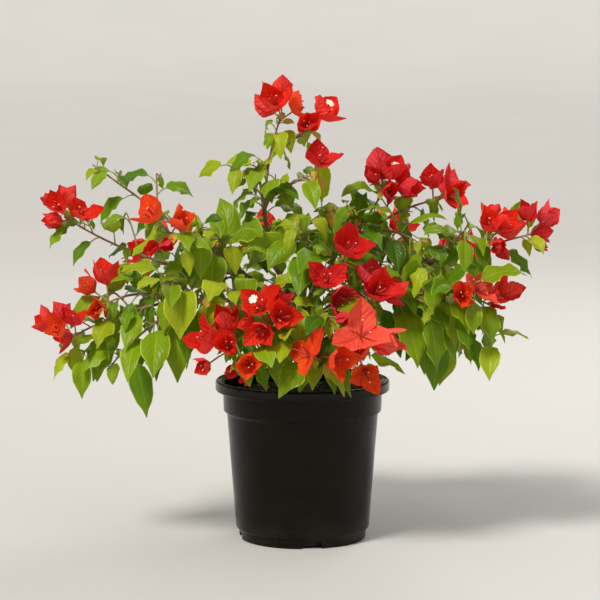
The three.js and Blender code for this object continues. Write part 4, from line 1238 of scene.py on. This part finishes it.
class OBJECT_OT_make_mix(bpy.types.Operator):
    """Makes the lumpy potting mix and scatters bark chips and pale bits over it"""

    bl_idname = "plant.make_mix"
    bl_label = "Make the potting mix"

    def execute(self, context):
        low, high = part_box("potting_mix")
        radius, top = high.x / MM, high.z / MM
        shares = [1 - k / MIX_RINGS for k in range(MIX_RINGS + 1)]
        surface = [(radius * share, top - MIX_FALL * share ** 4) for share in shares]
        side = [(MIX_FOOT, low.z / MM), MIX_SIDE[0], (radius - 0.2, MIX_SIDE[1])]
        bed = spun([(0, low.z / MM), *side, *surface], MIX_STEPS, "mix_bed")
        for vert in bed.vertices:
            if vert.co.z > (top - 6) * MM:
                reach = Vector((vert.co.x, vert.co.y)).length / (radius * MM)
                vert.co.z += lumpy(vert.co, 90, 1.6 * MM) * (1 - reach ** 8) - 0.6 * MM
        soil = mix_material("potting_soil", rgba(0.008, 0.006, 0.0045), rgba(0.055, 0.036, 0.024))
        piece_from_mesh("mix_bed", bed, soil, "mix", "potting_mix")
        dark = mix_material("bark_chips", rgba(0.016, 0.01, 0.007), rgba(0.13, 0.08, 0.05))
        pale = mix_material("pale_chips", rgba(0.2, 0.14, 0.09), rgba(0.5, 0.4, 0.29))
        chips = context.scene.plant_settings.chips
        piece_from_mesh("mix_chips", chip_mesh(chips, radius, top, 5), dark, "mix")
        piece_from_mesh("mix_pale_chips", chip_mesh(chips // 7, radius, top, 9), pale, "mix")
        return {"FINISHED"}


def chip_mesh(count, radius, top, seed):
    """Flat chips of bark strewn over the mix, clear of the trunk and the pot's wall."""
    draw = seeded(seed)
    strewn = bmesh.new()
    for _ in range(count):
        bearing = 2 * pi * draw()
        reach = CHIPS_FROM + (radius - CHIPS_FROM - CHIPS_CLEAR) * draw() ** 0.5
        size = 2.2 + 3.4 * draw()
        chip = bmesh.ops.create_icosphere(strewn, subdivisions=1, radius=1)["verts"]
        shape = Matrix.Diagonal((size * MM, size * (0.4 + 0.3 * draw()) * MM, size * 0.26 * MM, 1))
        turn = Matrix.Rotation(2 * pi * draw(), 4, "Z") @ Matrix.Rotation(0.7 * (draw() - 0.5), 4, "X")
        rise = (top - 2.4 * (reach / radius) ** 4 + 0.2) * MM
        place = Matrix.Translation((reach * sin(bearing) * MM, reach * cos(bearing) * MM, rise))
        for vert in chip:
            vert.co *= 0.8 + 0.4 * draw()
        bmesh.ops.transform(strewn, matrix=place @ turn @ shape, verts=chip)
    return mesh_from("chips", strewn)


# ---------------------------------------------------------------- wood


def wood_stems():
    """The trunk and boughs as tapering stems with a radius at each point."""
    stems = []
    heights = np.linspace(TRUNK_FOOT - TRUNK_SUNK, TRUNK_TOP + 4, TRUNK_STEPS)
    shares = np.clip((heights - TRUNK_FOOT) / (TRUNK_TOP - TRUNK_FOOT), 0, 1)
    radii = TRUNK_RADII[0] + (TRUNK_RADII[1] - TRUNK_RADII[0]) * shares
    radii = radii + (TRUNK_FLARE - TRUNK_RADII[0]) * (1 - shares) ** FLARE_FADE
    stems.append(([trunk_axis_at(h) for h in heights], radii))
    for limb in CROWN:
        arc = bough_arc(limb)
        shares = np.linspace(0, 1, BOUGH_STEPS)
        collar = 1 + COLLAR_SWELL * np.exp(-COLLAR_FADE * shares)
        radii = np.linspace(1, BOUGH_TIP_SHARE, BOUGH_STEPS) * limb["radius"] * collar
        stems.append(([arc.point(t) for t in shares], radii))
    return stems


class OBJECT_OT_make_wood(bpy.types.Operator):
    """Joins trunk and boughs into one skin with the bark's relief"""

    bl_idname = "plant.make_wood"
    bl_label = "Make trunk and boughs"

    def execute(self, context):
        settings = context.scene.plant_settings
        rough = joined_stems("wood", wood_stems(), 6)
        skin = applied(
            rough, "wood_skin",
            ("REMESH", {"mode": "VOXEL", "voxel_size": WOOD_VOXEL * MM}),
            ("SMOOTH", {"factor": 0.5, "iterations": 4}),
        )
        if not skin.polygons:
            raise RuntimeError("the wood's skin is empty")
        normals = [v.normal.copy() for v in skin.vertices]
        for vert, normal in zip(skin.vertices, normals):
            furrow = noise.ridged_multi_fractal(Vector((vert.co.x * 420, vert.co.y * 420, vert.co.z * 90)),
                                                0.9, 2.1, 4, 0.9, 2.0)
            knot = noise.fractal(vert.co * 120, 0.8, 2.0, 3)
            vert.co += normal * settings.relief * (0.8 * (furrow - 0.9) + 0.8 * knot)
            vert.co.z = max(vert.co.z, (TRUNK_FOOT - 2) * MM)
        bark = bark_material("bark", tuple(settings.bark_dark), tuple(settings.bark_light), 60.0, 0.0011)
        boughs = ["bough_" + limb["name"] for limb in CROWN]
        piece_from_mesh("wood", skin, bark, "bark", "trunk", *boughs)
        return {"FINISHED"}


# ---------------------------------------------------------------- crown

LEAF_COLOURS = {  # darkest, lightest, veins, margin, light that comes through
    "deep": ((0.03, 0.08, 0.002), (0.066, 0.16, 0.003), (0.16, 0.27, 0.02),
             (0.21, 0.34, 0.02), (0.15, 0.32, 0.004)),
    "mid": ((0.06, 0.14, 0.002), (0.122, 0.245, 0.004), (0.25, 0.38, 0.025),
            (0.35, 0.48, 0.035), (0.25, 0.45, 0.005)),
    "bright": ((0.12, 0.215, 0.003), (0.21, 0.33, 0.006), (0.34, 0.46, 0.03),
               (0.45, 0.56, 0.045), (0.38, 0.55, 0.006)),
    "fresh": ((0.21, 0.29, 0.004), (0.33, 0.41, 0.01), (0.46, 0.52, 0.05),
              (0.55, 0.6, 0.06), (0.5, 0.58, 0.008)),
    "young": ((0.42, 0.3, 0.03), (0.55, 0.42, 0.06), (0.6, 0.3, 0.08),
              (0.64, 0.2, 0.07), (0.6, 0.46, 0.06)),
}
BRACT_COLOURS = {  # darkest, lightest, veins, outside, light that comes through
    "rose": ((0.52, 0.012, 0.02), (0.82, 0.07, 0.07), (0.3, 0.004, 0.012),
             (0.8, 0.09, 0.11), (0.9, 0.02, 0.02)),
    "crimson": ((0.5, 0.007, 0.008), (0.84, 0.035, 0.03), (0.3, 0.003, 0.008),
                (0.78, 0.06, 0.075), (0.95, 0.02, 0.01)),
    "scarlet": ((0.62, 0.008, 0.004), (0.95, 0.05, 0.02), (0.42, 0.005, 0.005),
                (0.86, 0.08, 0.07), (1.0, 0.03, 0.01)),
    "orange": ((0.78, 0.03, 0.006), (0.98, 0.11, 0.02), (0.55, 0.02, 0.005),
               (0.92, 0.11, 0.05), (1.0, 0.09, 0.01)),
    "salmon": ((0.86, 0.06, 0.035), (0.98, 0.13, 0.085), (0.6, 0.02, 0.015),
               (0.93, 0.15, 0.12), (1.0, 0.12, 0.05)),
}


def foliage_nodes():
    return ["foliage_" + limb["name"] for limb in CROWN]


def stem_piece(name, stems, material, slot, resolution=1, replaced=()):
    return piece_from_mesh(name, joined_stems(name, stems, resolution), material, slot, *replaced)


def blade_pieces(many, one, blades, grid, colours, material):
    """One piece for each colour of blade, under the name for many and with a material for one."""
    for kind, alike in blades.items():
        tones = [rgba(*colour) for colour in colours[kind]]
        mesh = joined_blades(f"{many}_{kind}", alike, grid)
        piece_from_mesh(f"{many}_{kind}", mesh, material(f"{one}_{kind}", *tones), "foliage")


class OBJECT_OT_grow_stems(bpy.types.Operator):
    """Makes the shoots, twigs, leaf stalks and flower stalks"""

    bl_idname = "plant.grow_stems"
    bl_label = "Grow the stems"

    def execute(self, context):
        stems = grown_crown().stems
        brown = bark_material("shoot_bark", rgba(0.12, 0.065, 0.034), rgba(0.4, 0.25, 0.14), 90.0, 0.0005)
        twig = bark_material("twig_bark", rgba(0.15, 0.1, 0.035), rgba(0.33, 0.24, 0.09), 80.0, 0.0004)
        green = bark_material("green_stalk", rgba(0.15, 0.2, 0.03), rgba(0.34, 0.4, 0.08), 70.0, 0.0003)
        red = bark_material("flower_stalk", rgba(0.3, 0.1, 0.03), rgba(0.46, 0.3, 0.09), 90.0, 0.0003)
        stem_piece("shoots", stems["shoots"], brown, "bark", 2, foliage_nodes())
        stem_piece("fine_twigs", stems["twigs"] + stems["thorns"], twig, "bark")
        stem_piece("leaf_stalks", stems["stalks"], green, "foliage")
        stem_piece("flower_stalks", stems["pedicels"], red, "foliage")
        return {"FINISHED"}


class OBJECT_OT_grow_leaves(bpy.types.Operator):
    """Makes the leaves, each colour joined into one piece"""

    bl_idname = "plant.grow_leaves"
    bl_label = "Grow the leaves"

    def execute(self, context):
        blade_pieces("leaves", "leaf", grown_crown().leaves, LEAF_GRID, LEAF_COLOURS, leaf_material)
        return {"FINISHED"}


class OBJECT_OT_grow_blooms(bpy.types.Operator):
    """Makes the papery bracts, the flower tubes and the few open stars"""

    bl_idname = "plant.grow_blooms"
    bl_label = "Grow the blooms"

    def execute(self, context):
        crown = grown_crown()
        blade_pieces("bracts", "bract", crown.bracts, BRACT_GRID, BRACT_COLOURS, bract_material)
        tube = bark_material("flower_tube", rgba(0.32, 0.012, 0.015), rgba(0.6, 0.1, 0.06), 200.0, 0.0003)
        stem_piece("flower_tubes", crown.stems["tubes"], tube, "foliage")
        mouth = bark_material("tube_mouth", rgba(0.74, 0.3, 0.22), rgba(0.86, 0.66, 0.5), 300.0, 0.0002)
        stem_piece("tube_mouths", crown.stems["mouths"], mouth, "foliage")
        star = star_material("star_flower", rgba(0.86, 0.84, 0.7), rgba(0.75, 0.5, 0.06))
        piece_from_mesh("star_flowers", star_mesh(crown.stars), star, "foliage")
        return {"FINISHED"}


def star_mesh(stars):
    """Open flowers of five petals that spread from the end of their tube."""
    petals = []
    for top, aim in stars:
        for k in range(5):
            radial = radial_at(aim, 2 * pi * k / 5)
            across = radial.cross(aim)
            half = (0.5 + 1.3 * np.sin(pi * PETAL_GRID["along"] * 0.72))
            lift = 0.25 * PETAL_GRID["side"] ** 2
            start, tip = top + aim * 0.2, top + radial * 4.4 + aim * 0.8
            spine = (start, top + radial * 1.2 + aim * 1.1, top + radial * 3.1 + aim * 1.2, tip)
            petals.append((bent_grid(PETAL_GRID, spine, across, half, lift), 0.5))
    return joined_blades("star_flowers", petals, PETAL_GRID)


# ---------------------------------------------------------------- stage

SENSOR_WIDTH = 36
LENS_SHIFT = -0.0042


def soft_light(name, place, target, size, power, colour):
    data = bpy.data.lights.new(name, "AREA")
    data.shape, data.size, data.size_y = "ELLIPSE", *size
    data.energy, data.color = power, colour
    lamp = placed(name, data)
    lamp.location = place
    lamp.rotation_euler = (Vector(target) - Vector(place)).to_track_quat("-Z", "Y").to_euler()


class OBJECT_OT_set_stage(bpy.types.Operator):
    """Lays the pale floor and sets the soft lights and the camera"""

    bl_idname = "plant.set_stage"
    bl_label = "Set the stage"

    def execute(self, context):
        settings = context.scene.stage_settings
        flat, turn = settings.flat / MM, settings.turn / MM
        brim = arc_points(flat, turn, turn, -90, -50, 16)
        mesh = spun([(0, 0), (0.25 * flat, 0), (0.6 * flat, 0), *brim], 96, "floor")
        pale, paler = rgba(0.51, 0.515, 0.52), rgba(0.525, 0.53, 0.535)
        mesh.materials.append(stage_material("pale_floor", pale, paler))
        floor = placed("floor", mesh)
        middle = (0, 0, 0.25)
        sun = bpy.data.lights.new("key", "SUN")
        sun.energy, sun.angle, sun.color = 3.35, radians(16), (1.0, 0.94, 0.84)
        key = placed("key", sun)
        key.rotation_euler = Vector((1.0, 1.25, -1.75)).to_track_quat("-Z", "Y").to_euler()
        soft_light("fill", (1.9, -1.5, 1.2), middle, size=(1.4, 1.4), power=8, colour=(1.0, 0.97, 0.92))
        soft_light("back", (0.9, 1.5, 1.8), middle, size=(1.0, 1.0), power=16, colour=(1.0, 0.96, 0.88))
        context.scene.view_settings.view_transform = "Standard"
        world = bpy.data.worlds.new("soft_room")
        context.scene.world = world
        world.use_nodes = True
        room = Wiring(world.node_tree)
        upward = room.node("SeparateXYZ", {0: room.node("TexCoord")["Generated"]})[2]
        strength = room.ranged(upward, 0.1, 0.9, 0.14, 0.62)
        ceiling = room.node("Background", {"Color": rgba(0.98, 0.95, 0.9), "Strength": strength})[0]
        room.node("OutputWorld", {"Surface": ceiling})
        lens = bpy.data.cameras.new("camera")
        lens.lens, lens.sensor_width, lens.shift_x = settings.lens, SENSOR_WIDTH, LENS_SHIFT
        camera = placed("camera", lens)
        camera.location = (0, -settings.distance, settings.height)
        camera.rotation_euler = (radians(90) - settings.pitch, 0, 0)
        context.scene.camera = camera
        return {"FINISHED"}


class VIEW3D_PT_bougainvillea(bpy.types.Panel):
    """Shows the settings and the buttons that make the plant's pieces"""

    bl_label = "Bougainvillea"
    bl_space_type = "VIEW_3D"
    bl_region_type = "UI"
    bl_category = "Bougainvillea"

    def draw(self, context):
        scene = context.scene
        for settings in (scene.pot_settings, scene.plant_settings, scene.stage_settings):
            box = self.layout.box()
            for name in settings.bl_rna.properties.keys():
                if name not in ("rna_type", "name"):
                    box.prop(settings, name)
        for operator in OPERATORS:
            self.layout.operator(operator.bl_idname)


SETTINGS = (PotSettings, PlantSettings, StageSettings)
OPERATORS = (
    OBJECT_OT_set_stage,
    OBJECT_OT_make_pot,
    OBJECT_OT_make_mix,
    OBJECT_OT_make_wood,
    OBJECT_OT_grow_stems,
    OBJECT_OT_grow_leaves,
    OBJECT_OT_grow_blooms,
)


def register():
    for cls in (*SETTINGS, *OPERATORS, VIEW3D_PT_bougainvillea):
        bpy.utils.register_class(cls)
    bpy.types.Scene.pot_settings = PointerProperty(type=PotSettings)
    bpy.types.Scene.plant_settings = PointerProperty(type=PlantSettings)
    bpy.types.Scene.stage_settings = PointerProperty(type=StageSettings)


def unregister():
    del bpy.types.Scene.pot_settings
    del bpy.types.Scene.plant_settings
    del bpy.types.Scene.stage_settings
    for cls in (VIEW3D_PT_bougainvillea, *OPERATORS, *SETTINGS):
        bpy.utils.unregister_class(cls)


def main():
    register()
    bpy.ops.plant.set_stage()
    bpy.ops.plant.make_pot()
    bpy.ops.plant.make_mix()
    bpy.ops.plant.make_wood()
    bpy.ops.plant.grow_stems()
    bpy.ops.plant.grow_leaves()
    bpy.ops.plant.grow_blooms()


if __name__ == "__main__":
    main()
